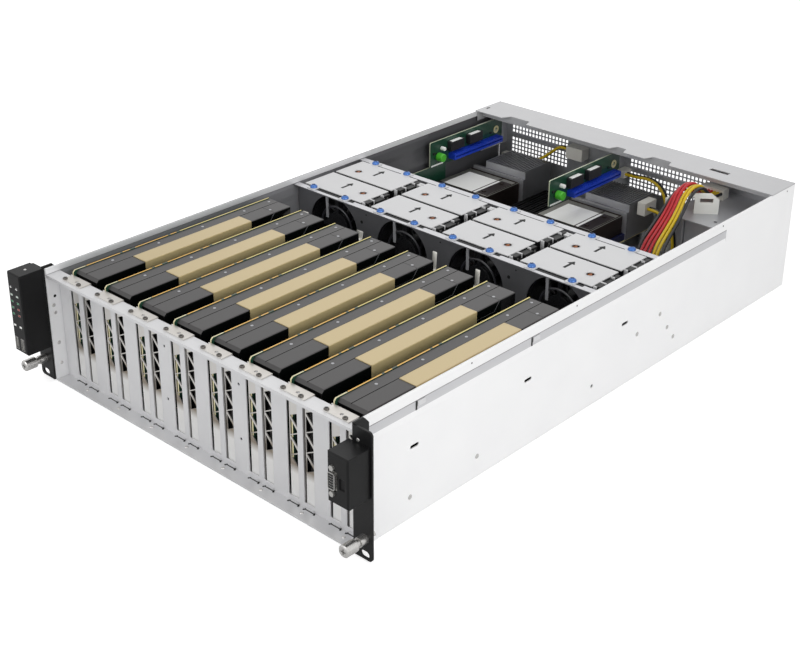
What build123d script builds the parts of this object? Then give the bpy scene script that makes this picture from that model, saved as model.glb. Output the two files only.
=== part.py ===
from build123d import *
import math
import os

# A three-unit rack server with its lid off: eight double-width cards stand behind slot brackets,
# eight fans in two rows blow to the rear, where two mainboards, two risers and two supplies sit.
# Millimetres, X across the rack, +Y to the rear, Z up, origin at the middle of the base.

# Chassis
body_width = 438.0
body_height = 131.0
body_depth = 730.0
sheet = 1.2
fit_gap = 0.3
box_reach = 30.0
handle_reach = 26.0
front = box_reach - (body_depth + box_reach + handle_reach) / 2
back = front + body_depth
half_width = body_width / 2
wall_inside = half_width - sheet
wall_top = 129.0
hem_depth = 6.5
joggle_low = 102.0
joggle_high = 108.5
joggle_lip = 118.0
joggle_deep = 0.9
joggle_start = 17.0
joggle_end = 582.0

# Slot wall, set back under a shelf that the card tabs are screwed to
slot_wall_face = 15.5
shelf_top = 122.0
shelf_hem = 3.2
slot_width = 13.2
slot_pitch = 20.32
slot_low = 7.0
slot_high = 118.0

# Cards
card_count = 8
card_pitch = 53.33
card_length = 267.7
first_board_x = -196.4
board_thick = 1.6
card_top = 127.8
card_bottom = 20.3
slot_before_board = 3.2
shroud_width = 34.4
shroud_top = 127.0
bracket_thick = 1.0
bracket_gap = 1.8
truss_low = 31.0
truss_bay = 20.8
truss_rise = 5.3
truss_bar = 1.1
plate_start = 64.0
plate_length = 145.0
plate_thick = 0.6
plate_skirt = 15.0
seam_from_board = 15.5

# Fans
fan_columns = 4
fan_rows = 2
fan_pitch = 106.5
first_fan_x = -158.0
fan_size = 80.0
fan_bore = 38.5
fan_deep = 38.0
fan_height = 81.0
fan_wall_y = 352.0
fan_row_y = (357.0, 410.5)
frame_reach = 104.5
flange_width = 7.5
blade_count = 7
hub_radius = 17.0
blade_tip_gap = 0.9
shaft_radius = 2.0
running_gap = 0.05
carrier_left = 50.0
carrier_right = 40.0
carrier_thick = 1.0
screw_left = 32.5
screw_right = 18.5
screw_head = 4.2

# Rear section
board_deck = 28.5
board_x = ((-212.0, -124.0), (-120.0, 44.0))
board_start = 470.0
board_long = 245.0
cooler_x = (-200.0, -40.0)
cooler_y = 586.0
riser_x = (-205.0, -15.0)
riser_y = 571.0
riser_long = 145.0
riser_low = 81.0
riser_high = 115.5
cover_start = 678.0
shelf_z = 95.0
cage_left = 118.0
cage_start = 621.0
supply_x = 140.5
supply_wide = 73.5
supply_tall = 41.0
supply_z = (4.0, 51.0)
supply_step = 3.0

# Rack ears
rack_reach = 482.6 / 2
ear_thick = 2.0
ear_top = 129.0
rack_hole_x = 232.55
rack_hole_z = 6.35
rack_hole_radius = 3.4
rack_hole_long = 10.4
thumb_z = 22.2
thumb_shank = 2.5
thumb_head = 6.0


def boards():
    """X of each card's board, from the left."""
    return [first_board_x + card_pitch * i for i in range(card_count)]


def fans():
    """X, Y and number of each fan, front row first."""
    return [(first_fan_x + fan_pitch * c, front + fan_row_y[r], 1 + c + fan_columns * r)
            for r in range(fan_rows) for c in range(fan_columns)]


def save(part, name):
    part.label = name
    part.name = name
    export_step(part, "parts/" + name + ".step")


def block(x0, x1, y0, y1, z0, z1, mode=Mode.ADD):
    """A straight-sided piece between two corners, drawn on its floor and pulled up."""
    with BuildSketch(Plane.XY.offset(z0)) as floor:
        with Locations(((x0 + x1) / 2, (y0 + y1) / 2)):
            Rectangle(x1 - x0, y1 - y0)
    extrude(floor.sketch, amount=z1 - z0, mode=mode)


def rod(x, y, z0, z1, radius, mode=Mode.ADD):
    with BuildSketch(Plane.XY.offset(z0)) as floor:
        with Locations((x, y)):
            Circle(radius)
    extrude(floor.sketch, amount=z1 - z0, mode=mode)


def facing(y):
    """A drawing plane that looks back along -Y, X to the right and Z up."""
    return Plane(origin=(0, y, 0), x_dir=(1, 0, 0), z_dir=(0, -1, 0))


def side(x):
    """A drawing plane across the rack, Y to the right and Z up."""
    return Plane(origin=(x, 0, 0), x_dir=(0, 1, 0), z_dir=(1, 0, 0))


def peg(x, z, y0, y1, radius, mode=Mode.ADD):
    with BuildSketch(facing(y1)) as end:
        with Locations((x, z)):
            Circle(radius)
    extrude(end.sketch, amount=y1 - y0, mode=mode)


os.makedirs("parts", exist_ok=True)

# Base tray: floor with turned-up sides, tongue slots under the cards and pressed posts
tray_flange = 14.0
post_radius = 3.5
slot_deck = 7.0
slot_board_left = -206.0
slot_board_right = 216.0
slot_board_start = 32.0
slot_board_long = 262.0
tongue_wide = 12.6
tongue_slot_y = front + slot_wall_face + 0.8
with BuildPart() as base_tray:
    with BuildSketch(facing(back)):
        Polygon((-wall_inside, 0), (wall_inside, 0), (wall_inside, tray_flange),
                (wall_inside - sheet, tray_flange), (wall_inside - sheet, sheet),
                (-wall_inside + sheet, sheet), (-wall_inside + sheet, tray_flange),
                (-wall_inside, tray_flange), align=None)
    extrude(amount=body_depth)
    block(-wall_inside, wall_inside, front - 1, front + joggle_start + 14, sheet, tray_flange + 1,
          Mode.SUBTRACT)
    with BuildSketch(Plane.XY):
        for x in boards():
            for s in range(2):
                with Locations((x - slot_before_board + slot_width / 2 + bracket_gap / 2
                                + slot_pitch * s, tongue_slot_y)):
                    Rectangle(tongue_wide + 2 * fit_gap, 4.6)
    extrude(amount=sheet, mode=Mode.SUBTRACT)
    for x in (slot_board_left + 12, 5.0, slot_board_right - 12):
        for y in (slot_board_start + 12, slot_board_start + slot_board_long - 12):
            rod(x, front + y, sheet, slot_deck, post_radius)
    for left, right in board_x:
        for x in (left + 8, right - 8):
            for y in (board_start + 10, board_start + board_long - 10):
                rod(x, front + y, sheet, board_deck, post_radius)
save(base_tray.part, "base_tray")

# Side walls: a plain sheet with a hem rolled along its top and, ahead of the rear cover, a band
# that steps in so that the lid's skirt lies flush
rail_slot_y = (74.8, 234.2, 393.6)
rail_slot_z = 73.5
rail_hole_y = 341.6
rail_hole_z = 21.9
hook_y = (81.0, 242.0)
hook_z = 113.0


def wall(name, hand):
    def flat(start, end, profile):
        with BuildSketch(facing(front + end)) as outline:
            Polygon(*[(hand * x, z) for x, z in profile], align=None)
        extrude(outline.sketch, amount=end - start)

    out = half_width
    mid = half_width - sheet
    hem = half_width - 2 * sheet
    hem_low = wall_top - hem_depth
    straight = [(out, 0), (out, wall_top), (hem, wall_top), (hem, hem_low), (mid, hem_low), (mid, 0)]
    skin = out - joggle_deep
    bulge = mid - joggle_deep
    stepped = [(out, 0), (out, joggle_low), (skin, joggle_high), (skin, joggle_lip - sheet),
               (out, joggle_lip), (out, wall_top), (hem, wall_top), (hem, hem_low), (mid, hem_low),
               (bulge, joggle_lip), (bulge, joggle_high - 0.2), (mid, joggle_low - 0.2), (mid, 0)]
    with BuildPart() as piece:
        flat(0, joggle_start, straight)
        flat(joggle_start, joggle_end, stepped)
        flat(joggle_end, body_depth, straight)
        top = piece.edges().filter_by(Axis.Y).group_by(Axis.Z)[-1]
        fillet(top, 0.9)
        with BuildSketch(side(-half_width - 5)):
            for y in rail_slot_y:
                with Locations((front + y, rail_slot_z)):
                    SlotOverall(11, 3.4)
            with Locations((front + rail_hole_y, rail_hole_z)):
                Circle(2.0)
            for y in hook_y:
                with Locations((front + y, hook_z)):
                    Rectangle(7, 2.4)
        extrude(amount=body_width + 10, mode=Mode.SUBTRACT)
    save(piece.part, name)


wall("side_wall_left", -1)
wall("side_wall_right", 1)

# Front panel: one folded sheet, the slot wall under its screw shelf, ends turned back to the walls
panel_return = 14.0
tab_hole_x = 17.8
tab_hole_y = 10.5
with BuildPart() as front_panel:
    wall_y = front + slot_wall_face
    with BuildSketch(side(-wall_inside)):
        Polygon((wall_y, sheet), (wall_y + sheet, sheet), (wall_y + sheet, shelf_top),
                (front, shelf_top), (front, shelf_top - shelf_hem),
                (front + sheet, shelf_top - shelf_hem), (front + sheet, shelf_top - sheet),
                (wall_y, shelf_top - sheet), align=None)
    extrude(amount=2 * wall_inside)
    for hand in (-1, 1):
        edge = sorted((hand * wall_inside, hand * (wall_inside - sheet)))
        block(edge[0], edge[1], wall_y + sheet, wall_y + sheet + panel_return, sheet, joggle_low - 2)
    with BuildSketch(facing(wall_y + sheet + 1)):
        for x in boards():
            for s in range(2):
                with Locations((x - slot_before_board + slot_width / 2 + slot_pitch * s,
                                (slot_low + slot_high) / 2)):
                    RectangleRounded(slot_width, slot_high - slot_low, 1.0)
        for x in (boards()[3], boards()[5]):
            for z in (38.0, 96.0):
                with Locations((x - slot_before_board - (card_pitch - slot_pitch - slot_width) / 2, z)):
                    Circle(1.5)
    extrude(amount=sheet + 2, mode=Mode.SUBTRACT)
    for x in boards():
        rod(x + tab_hole_x, front + tab_hole_y, shelf_top - sheet, shelf_top, 1.9, Mode.SUBTRACT)
save(front_panel.part, "front_panel")

# Slot brackets: a double-width plate pierced as a truss of triangles, two tongues, and a tab
# that turns forward over the shelf
bracket_y = front + slot_wall_face + sheet + fit_gap
tab_reach = 12.0


def truss(left, first):
    """Triangular windows of one column, from the top bar down to the solid foot."""
    right = left + slot_width - bracket_gap - 1.2
    bar = truss_bar / 2
    top = first
    while top - truss_bay + truss_rise > truss_low - 3:
        low = max(top - truss_bay, truss_low)
        Polygon((left, top - bar), (right, top + truss_rise - bar), (right, top - truss_bay / 2 - bar),
                align=None)
        if top - truss_bay > truss_low:
            Polygon((left, top - 2.6 - bar), (left, low + bar), (right, low + truss_rise + bar),
                    align=None)
        top -= truss_bay


with BuildPart() as card_brackets:
    for x in boards():
        left = x - slot_before_board + bracket_gap
        right = left + slot_pitch + slot_width - bracket_gap + 0.9
        tab_left = left + 2.2
        with BuildSketch(side(left)):
            Polygon((bracket_y, 3.0), (bracket_y + bracket_thick, 3.0),
                    (bracket_y + bracket_thick, shelf_top + bracket_thick),
                    (front + tab_reach / 2 - 1.2, shelf_top + bracket_thick),
                    (front + tab_reach / 2 - 1.2, shelf_top), (bracket_y, shelf_top), align=None)
        extrude(amount=right - left)
        block(left - 1, tab_left, front, bracket_y, shelf_top, shelf_top + 2, Mode.SUBTRACT)
        rod(x + tab_hole_x, front + tab_hole_y, shelf_top, shelf_top + 2, 1.9, Mode.SUBTRACT)
        with BuildSketch(facing(bracket_y + bracket_thick)):
            truss(left + 0.8, 90.6)
            truss(left + slot_pitch + 0.8, 101.0)
            with Locations((left + slot_pitch - bracket_gap / 2, 56.0)):
                Rectangle(bracket_gap, 104.0)
        extrude(amount=bracket_thick, mode=Mode.SUBTRACT)
        with BuildSketch(facing(bracket_y + bracket_thick)):
            for s in range(2):
                with Locations((left + slot_pitch * s + (slot_width - bracket_gap) / 2, 1.65)):
                    Trapezoid(tongue_wide - 1.2, 2.7, 84)
        extrude(amount=bracket_thick)
save(card_brackets.part, "card_brackets")

# Card boards: tall boards with a clipped front corner, edge fingers below and raised links above
board_y = bracket_y + bracket_thick + fit_gap
finger_start = 52.0
finger_long = 89.0
finger_low = 13.0
corner_cut = 2.2
with BuildPart() as card_boards:
    for x in boards():
        with BuildSketch(side(x)):
            Polygon((board_y, card_bottom), (board_y + finger_start, card_bottom),
                    (board_y + finger_start, finger_low),
                    (board_y + finger_start + finger_long, finger_low),
                    (board_y + finger_start + finger_long, card_bottom),
                    (board_y + card_length, card_bottom), (board_y + card_length, card_top),
                    (board_y + corner_cut, card_top), (board_y, card_top - corner_cut), align=None)
        extrude(amount=board_thick)
save(card_boards.part, "card_boards")

# Card shrouds: a moulded duct with a seam along its top, a rounded nose and an open rear end
nose_gap = 3.0
shroud_wall = 1.6
duct_depth = 16.0
tail_long = 61.0
for number, x in enumerate(boards(), start=1):
    left = x + board_thick + fit_gap
    right = left + shroud_width
    nose = board_y + nose_gap
    tail = board_y + card_length
    with BuildPart() as shroud:
        with BuildSketch(facing(tail)):
            with Locations(((left + right) / 2, (card_bottom + 1 + shroud_top) / 2)):
                Rectangle(shroud_width, shroud_top - card_bottom - 1)
        extrude(amount=tail - nose)
        nose_edge = shroud.faces().filter_by(Axis.Y).sort_by(Axis.Y)[0].edges().sort_by(Axis.Z)[-1]
        chamfer(nose_edge, 3.0)
        top_edges = shroud.edges().filter_by(Axis.Y).group_by(Axis.Z)[-1]
        fillet(top_edges.sort_by(Axis.X)[-1], 1.2)
        block(x + seam_from_board, x + seam_from_board + 0.8, nose - 1, tail + 1,
              shroud_top - 0.9, shroud_top + 1, Mode.SUBTRACT)
        block(right - 1.0, right + 1, tail - tail_long, tail - tail_long + 0.9,
              card_bottom, shroud_top + 1, Mode.SUBTRACT)
        block(left + shroud_wall, right - shroud_wall, tail - duct_depth, tail + 1,
              card_bottom + 4, shroud_top - shroud_wall, Mode.SUBTRACT)
        for fin in range(1, 6):
            at = left + shroud_wall + fin * (shroud_width - 2 * shroud_wall) / 6
            block(at - 0.4, at + 0.4, tail - duct_depth, tail - 2, card_bottom + 4,
                  shroud_top - shroud_wall)
    save(shroud.part, "card_shroud_%d" % number)

# Bright plates: bent over the middle of each shroud's top and right side
with BuildPart() as card_plates:
    for x in boards():
        right = x + board_thick + fit_gap + shroud_width
        with BuildSketch(facing(board_y + plate_start + plate_length)):
            Polygon((x + seam_from_board + 1.0, shroud_top),
                    (x + seam_from_board + 1.0, shroud_top + plate_thick),
                    (right + plate_thick, shroud_top + plate_thick),
                    (right + plate_thick, shroud_top - plate_skirt), (right, shroud_top - plate_skirt),
                    (right, shroud_top), align=None)
        extrude(amount=plate_length)
    outer = card_plates.edges().filter_by(Axis.Y).group_by(Axis.Z)[-1].sort_by(Axis.X)[1::2]
    fillet(outer, 0.5)
save(card_plates.part, "card_plates")

# Slot board and its sockets
socket_long = 92.0
socket_high = 11.0
with BuildPart() as slot_board:
    block(slot_board_left, slot_board_right, front + slot_board_start,
          front + slot_board_start + slot_board_long, slot_deck, slot_deck + board_thick)
save(slot_board.part, "slot_board")

with BuildPart() as card_sockets:
    for x in boards():
        mid = x + board_thick / 2
        start = board_y + finger_start - (socket_long - finger_long) / 2
        block(mid - 3.7, mid + 3.7, start, start + socket_long, slot_deck + board_thick,
              slot_deck + board_thick + socket_high)
        block(mid - board_thick / 2 - 0.2, mid + board_thick / 2 + 0.2, start + 1, start + socket_long - 1,
              finger_low - fit_gap, slot_deck + board_thick + socket_high, Mode.SUBTRACT)
save(card_sockets.part, "card_sockets")

# Fan frame: one folded section across the body, two walls with round openings, a shelf that the
# fans stand on and a flange along each wall's top, with dividers between the columns
deck = fan_height - fan_size / 2 - fit_gap
inner_y = front + fan_wall_y
outer_y = inner_y + frame_reach
frame_half = wall_inside - sheet - fit_gap
with BuildPart() as fan_frame:
    with BuildSketch(side(-frame_half)):
        Polygon((inner_y, sheet), (inner_y + sheet, sheet), (inner_y + sheet, deck - sheet),
                (outer_y - sheet, deck - sheet), (outer_y - sheet, sheet), (outer_y, sheet),
                (outer_y, shelf_top - sheet), (outer_y + flange_width, shelf_top - sheet),
                (outer_y + flange_width, shelf_top), (outer_y - sheet, shelf_top),
                (outer_y - sheet, deck), (inner_y + sheet, deck), (inner_y + sheet, shelf_top),
                (inner_y - flange_width, shelf_top), (inner_y - flange_width, shelf_top - sheet),
                (inner_y, shelf_top - sheet), align=None)
    extrude(amount=2 * frame_half)
    for column in range(fan_columns):
        x = first_fan_x + fan_pitch * column
        peg(x, fan_height, inner_y - 1, inner_y + sheet + 1, fan_bore, Mode.SUBTRACT)
        peg(x, fan_height, outer_y - sheet - 1, outer_y + 1, fan_bore, Mode.SUBTRACT)
        for dx in (-screw_left, screw_right):
            rod(x + dx, inner_y, shelf_top - 5, shelf_top + 1, 1.8, Mode.SUBTRACT)
            rod(x + dx, outer_y, shelf_top - 5, shelf_top + 1, 1.8, Mode.SUBTRACT)
    for column in range(fan_columns - 1):
        x = first_fan_x + fan_pitch * column + fan_size / 2 + 18
        block(x, x + sheet, inner_y + sheet, outer_y - sheet, deck, shelf_top - 8)
save(fan_frame.part, "fan_frame")

# Fan housings: a square frame round the bore, a motor seat on four struts and a plug at one side
strut = 3.2
with BuildPart() as fan_housings:
    for x, y, number in fans():
        with BuildSketch(facing(y + fan_deep)):
            with Locations((x, fan_height)):
                RectangleRounded(fan_size, fan_size, 3)
                Circle(fan_bore, mode=Mode.SUBTRACT)
        extrude(amount=fan_deep)
        with BuildSketch(facing(y + strut)):
            with Locations((x, fan_height)):
                Circle(hub_radius)
                with PolarLocations(0, 4):
                    with Locations((fan_size / 4, 0)):
                        Rectangle(fan_size / 2 - 1, 5.0)
                Circle(shaft_radius + running_gap, mode=Mode.SUBTRACT)
        extrude(amount=strut)
        block(x + fan_size / 2, x + fan_size / 2 + 8, y + 2, y + 17, fan_height + 20, fan_height + 37)
save(fan_housings.part, "fan_housings")

# Fan rotors: a rounded hub on its shaft with seven twisted blades
hub_start = strut + 0.6
hub_end = fan_deep - 4.0
for x, y, number in fans():
    axis = Plane(origin=(x, y, fan_height), x_dir=(1, 0, 0), z_dir=(0, 1, 0))
    with BuildPart() as rotor:
        with BuildSketch(axis.offset(hub_start)):
            Circle(hub_radius)
        extrude(amount=hub_end - hub_start)
        fillet(rotor.edges().group_by(Axis.Y)[-1], 2.5)
        with BuildSketch(axis.offset(0.5)):
            Circle(shaft_radius)
        extrude(amount=hub_start)
        tip = fan_bore - blade_tip_gap
        for blade in range(blade_count):
            turn = 360.0 / blade_count * blade
            spoke = Plane(axis.origin, z_dir=(math.cos(math.radians(turn)), 0, math.sin(math.radians(turn))),
                          x_dir=(0, 1, 0))
            with BuildSketch(spoke.offset(hub_radius - 1.5)):
                with Locations(Location((hub_start + 14, 0, 0), 38)):
                    Rectangle(27, 1.8)
            with BuildSketch(spoke.offset(tip - 0.9)):
                with Locations(Location((hub_start + 14, 0, 0), 54)):
                    Rectangle(25, 1.2)
            loft(ruled=True)
    save(rotor.part, "fan_rotor_%d" % number)

# Fan carriers: the sheet lid of each fan, with screw tabs, a finger hole and an arrow slot
finger_hole = 4.6
with BuildPart() as fan_carriers:
    for x, y, number in fans():
        row = (number - 1) // fan_columns
        hand = 1 if row == 0 else -1
        near = y - 1.5 if row == 0 else y - 4.5
        far = near + 46.0
        level = fan_height + fan_size / 2 + 1.0
        with BuildSketch(Plane.XY.offset(level)):
            with Locations((x + (carrier_right - carrier_left) / 2, (near + far) / 2)):
                Rectangle(carrier_left + carrier_right, far - near)
            for dx in (-screw_left, screw_right):
                edge = inner_y - 4.5 if row == 0 else outer_y + 4.5
                inside = near if row == 0 else far
                with Locations((x + dx, (edge + inside) / 2)):
                    Rectangle(12, abs(inside - edge) + 2)
                with Locations((x + dx, inner_y if row == 0 else outer_y)):
                    Circle(1.8, mode=Mode.SUBTRACT)
            with Locations((x + hand * 26 - 4, y + (21.0 if row == 0 else 13.5))):
                Circle(finger_hole, mode=Mode.SUBTRACT)
            with Locations((x - 7, y + 24)):
                Rectangle(2.2, 17, mode=Mode.SUBTRACT)
            with Locations((x - 7, y + 31)):
                Triangle(a=6, b=6, c=6, mode=Mode.SUBTRACT)
        extrude(amount=carrier_thick)
        skirt = x - carrier_left
        block(skirt, skirt + carrier_thick, near, far, level - 16, level)
save(fan_carriers.part, "fan_carriers")

with BuildPart() as fan_screws:
    for x, y, number in fans():
        row = (number - 1) // fan_columns
        line = inner_y if row == 0 else outer_y
        seat = fan_height + fan_size / 2 + 1.0 + carrier_thick
        for dx in (-screw_left, screw_right):
            rod(x + dx, line, seat, seat + 3.0, screw_head)
            rod(x + dx, line, shelf_top - 4, seat, 1.4)
save(fan_screws.part, "fan_screws")

# Rear panel: openings for the supplies, the ports and the slot blanks, with square-hole vents
vent_pitch = 5.5
vent_hole = 3.9
vent_low = (66.0, 86.0)
vent_high = (94.0, 108.0)
vent_x = ((-198.0, -100.0), (-8.0, 112.0))
blank_x = ((-196.0, -78.0), (-6.0, 112.0))
blank_low = 87.0
blank_high = 92.6
port_groups = ((-205.0, 0.0), (-45.0, 160.0))
port_low = board_deck + board_thick
panel_y = back - sheet
port_sizes = ((4.0, 17.0, 27.0), (26.0, 16.5, 13.8), (46.0, 16.5, 13.8), (66.0, 16.0, 8.6))
with BuildPart() as rear_panel:
    with BuildSketch(facing(back)):
        with Locations((0, (sheet + wall_top - 1) / 2)):
            Rectangle(2 * (wall_inside - sheet), wall_top - 1 - sheet)
        for z in supply_z:
            with Locations((supply_x + supply_wide / 2, z + supply_tall / 2)):
                Rectangle(supply_wide + 2 * fit_gap, supply_tall + 2 * fit_gap, mode=Mode.SUBTRACT)
        for left, right in blank_x:
            with Locations(((left + right) / 2, (blank_low + blank_high) / 2)):
                Rectangle(right - left - 6, blank_high - blank_low - 1.5, mode=Mode.SUBTRACT)
        for left, shift in port_groups:
            for dx, wide, tall in port_sizes:
                with Locations((left + dx + wide / 2, port_low + tall / 2)):
                    Rectangle(wide + 2 * fit_gap, tall + 2 * fit_gap, mode=Mode.SUBTRACT)
        for left, right in vent_x:
            columns = int((right - left) / vent_pitch)
            for low, high in (vent_low, vent_high):
                rows = int((high - low) / vent_pitch) + 1
                with Locations(((left + right) / 2, (low + high) / 2)):
                    with GridLocations(vent_pitch, vent_pitch, columns, rows):
                        Rectangle(vent_hole, vent_hole, mode=Mode.SUBTRACT)
    extrude(amount=sheet)
save(rear_panel.part, "rear_panel")

with BuildPart() as slot_blanks:
    for left, right in blank_x:
        with BuildSketch(facing(panel_y)):
            with Locations(((left + right) / 2, (blank_low + blank_high) / 2)):
                Rectangle(right - left, blank_high - blank_low)
        extrude(amount=1.0)
save(slot_blanks.part, "slot_blanks")

with BuildPart() as rear_ports:
    for left, shift in port_groups:
        for dx, wide, tall in port_sizes:
            block(left + dx, left + dx + wide, back - 18, back + 0.5, port_low, port_low + tall)
            block(left + dx + 2, left + dx + wide - 2, back - 3.3, back + 1, port_low + 2,
                  port_low + tall - 2, Mode.SUBTRACT)
save(rear_ports.part, "rear_ports")

# Rear cover: a fixed strip of lid, notched along its front edge, with a hanging front flange
notch_x = ((-175.0, -134.0), (-7.0, 16.0), (45.0, 81.0))
notch_deep = 12.0
cover_top = body_height
with BuildPart() as rear_cover:
    block(-half_width, half_width, front + cover_start, back, wall_top, wall_top + sheet)
    for hand in (-1, 1):
        edge = sorted((hand * (wall_inside - 2 * sheet), hand * (wall_inside - 3 * sheet)))
        block(edge[0], edge[1], front + cover_start, back - sheet, wall_top - 12, wall_top)
    block(-wall_inside + 3 * sheet, wall_inside - 3 * sheet, front + cover_start + notch_deep,
          front + cover_start + notch_deep + sheet, wall_top - 9, wall_top)
    with BuildSketch(Plane.XY.offset(wall_top - 1)):
        for left, right in notch_x:
            Polygon((left, front + cover_start - 1), (right, front + cover_start - 1),
                    (right - 4, front + cover_start + notch_deep),
                    (left + 6, front + cover_start + notch_deep), align=None)
        with Locations((136.0, front + 702.0)):
            Rectangle(25, 7)
        with Locations((-212.6, front + 697.0)):
            Rectangle(3.4, 7)
    extrude(amount=sheet + 2, mode=Mode.SUBTRACT)
save(rear_cover.part, "rear_cover")

# Mainboards with memory sockets
with BuildPart() as mainboards:
    for left, right in board_x:
        block(left, right, front + board_start, front + board_start + board_long, board_deck,
              board_deck + board_thick)
save(mainboards.part, "mainboards")

deck_top = board_deck + board_thick
socket_pitch = 9.5
socket_banks = [(left + 12, board_start + 8, 92.0, 4) for left, right in board_x]
socket_banks.append((board_x[1][0] + 6, board_start + 106, 124.0, 6))
with BuildPart() as memory_sockets:
    for left, start, long, count in socket_banks:
        for i in range(count):
            x = left + socket_pitch * i
            block(x, x + 6.5, front + start, front + start + long, deck_top, deck_top + 9)
            block(x + 2.4, x + 4.1, front + start + 3, front + start + long - 3, deck_top + 3,
                  deck_top + 10, Mode.SUBTRACT)
save(memory_sockets.part, "memory_sockets")

# Coolers: a low one with its fins boxed in, and a tall finned block behind a plain front bar
cooler_wide = 80.0
low_cooler_top = 61.5
tall_cooler_top = 75.0
tall_start = cooler_y + 68.0
with BuildPart() as front_coolers:
    for left in cooler_x:
        block(left, left + cooler_wide, front + cooler_y - 4, front + cooler_y + 64, deck_top, low_cooler_top)
        count = 15
        for i in range(count):
            x = left + 4 + i * (cooler_wide - 8 - 1.6) / (count - 1)
            block(x, x + 1.6, front + cooler_y - 5, front + cooler_y + 65, deck_top + 5,
                  low_cooler_top - 1.2, Mode.SUBTRACT)
save(front_coolers.part, "front_coolers")

with BuildPart() as rear_coolers:
    for left in cooler_x:
        block(left + 2, left + cooler_wide + 5, front + tall_start - 2, front + tall_start + 2, deck_top, 66.0)
        block(left + 20, left + cooler_wide + 5, front + tall_start + 2, front + tall_start + 57, deck_top,
              tall_cooler_top)
        count = 16
        for i in range(count):
            x = left + 22.5 + i * (cooler_wide - 20) / (count - 1)
            block(x, x + 2.2, front + tall_start + 3, front + tall_start + 58, deck_top + 6,
                  tall_cooler_top + 1, Mode.SUBTRACT)
save(rear_coolers.part, "rear_coolers")

# Risers: a board on a bracket that stands on the rear panel, and its long slot. A third, narrow
# board stands on the left mainboard's edge.
bracket_low = 77.0
with BuildPart() as riser_brackets:
    for x in riser_x:
        with BuildSketch(side(x - sheet)):
            Polygon((panel_y, bracket_low), (panel_y, riser_high), (front + riser_y + 96, riser_high),
                    (front + riser_y + 96, bracket_low + 9), (front + riser_y + 105, bracket_low),
                    align=None)
        extrude(amount=sheet)
        block(x - 9, x - sheet, panel_y - sheet, panel_y, bracket_low, riser_high)
save(riser_brackets.part, "riser_brackets")

with BuildPart() as riser_boards:
    for x in riser_x:
        with BuildSketch(side(x)):
            with Locations((front + riser_y + riser_long / 2, (riser_low + riser_high) / 2)):
                RectangleRounded(riser_long, riser_high - riser_low, 2)
            with Locations((front + riser_y + riser_long - 13, 101.0)):
                Circle(2.4, mode=Mode.SUBTRACT)
        extrude(amount=board_thick)
    side_board = board_x[0][0] + 0.4
    block(side_board, side_board + board_thick, front + 520, front + 609, deck_top, 79.0)
save(riser_boards.part, "riser_boards")

riser_slot_z = 86.0
with BuildPart() as riser_slots:
    for x in riser_x:
        face = x + board_thick
        block(face, face + 11, front + riser_y + 36, front + riser_y + 134, riser_slot_z, riser_slot_z + 7.5)
        block(face + 4, face + 12, front + riser_y + 38, front + riser_y + 132, riser_slot_z + 2.8,
              riser_slot_z + 4.7, Mode.SUBTRACT)
save(riser_slots.part, "riser_slots")

# Supply cage: shelf over two bays, one above the other
with BuildPart() as supply_cage:
    block(cage_left, wall_inside - fit_gap, front + cage_start, panel_y, shelf_z, shelf_z + sheet)
    block(cage_left, cage_left + sheet, front + cage_start, panel_y, shelf_z - 10, shelf_z)
    block(supply_x - 1.5 - sheet, supply_x - 1.5, front + cage_start + 4, panel_y, sheet, shelf_z)
    block(supply_x - 1.5, wall_inside - fit_gap, front + cage_start + 4, panel_y,
          supply_z[1] - fit_gap - sheet, supply_z[1] - fit_gap)
    rod(cage_left + 55, front + cage_start + 17, shelf_z - 1, shelf_z + sheet + 1, 2.2, Mode.SUBTRACT)
save(supply_cage.part, "supply_cage")

# Supplies: each slides out to the rear on its bay floor, drawn by a wire loop
supply_front = front + cage_start + 6
supply_back = back + supply_step
handle_radius = 2.2
handle_tall = 27.0
for name, z in (("supply_lower", supply_z[0]), ("supply_upper", supply_z[1])):
    with BuildPart() as supply:
        block(supply_x, supply_x + supply_wide, supply_front, supply_back, z, z + supply_tall)
        with BuildSketch(facing(supply_back)):
            with Locations((supply_x + 48, z + supply_tall / 2)):
                with GridLocations(6.6, 6.6, 6, 5):
                    Rectangle(5.0, 5.0)
            with Locations((supply_x + 11, z + 12)):
                RectangleRounded(15, 14, 2)
        extrude(amount=4, mode=Mode.SUBTRACT)
        grip_x = supply_x + 24.5
        reach = back + handle_reach - handle_radius
        mid = z + supply_tall / 2
        with BuildLine(side(grip_x)) as loop:
            FilletPolyline((supply_back, mid - handle_tall / 2), (reach, mid - handle_tall / 2),
                           (reach, mid + handle_tall / 2), (supply_back, mid + handle_tall / 2), radius=6)
        with BuildSketch(Plane(loop.line @ 0, z_dir=loop.line % 0)):
            Circle(handle_radius)
        sweep(path=loop.line)
    save(supply.part, name)

# Rack ears: a front plate with the rack slot and screw bore, and a flange back along the wall
for name, hand in (("ear_left", -1), ("ear_right", 1)):
    with BuildPart() as ear:
        with BuildSketch(facing(front)):
            with Locations((hand * (half_width + rack_reach) / 2, (1 + ear_top) / 2)):
                RectangleRounded(rack_reach - half_width, ear_top - 1, 4)
            with Locations((hand * (half_width + 5), (1 + ear_top) / 2)):
                Rectangle(10, ear_top - 1)
            with Locations((hand * rack_hole_x, rack_hole_z)):
                SlotOverall(rack_hole_long, 2 * rack_hole_radius, mode=Mode.SUBTRACT)
            with Locations((hand * rack_hole_x, thumb_z)):
                Circle(thumb_shank + running_gap, mode=Mode.SUBTRACT)
        extrude(amount=ear_thick)
        with BuildSketch(side(half_width if hand > 0 else -half_width - ear_thick)):
            Polygon((front - ear_thick, 1), (front + joggle_start - 1, 1),
                    (front + joggle_start - 1, body_height - 7),
                    (front + joggle_start - 7, body_height), (front - ear_thick, body_height),
                    align=None)
        extrude(amount=ear_thick)
    save(ear.part, name)

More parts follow.
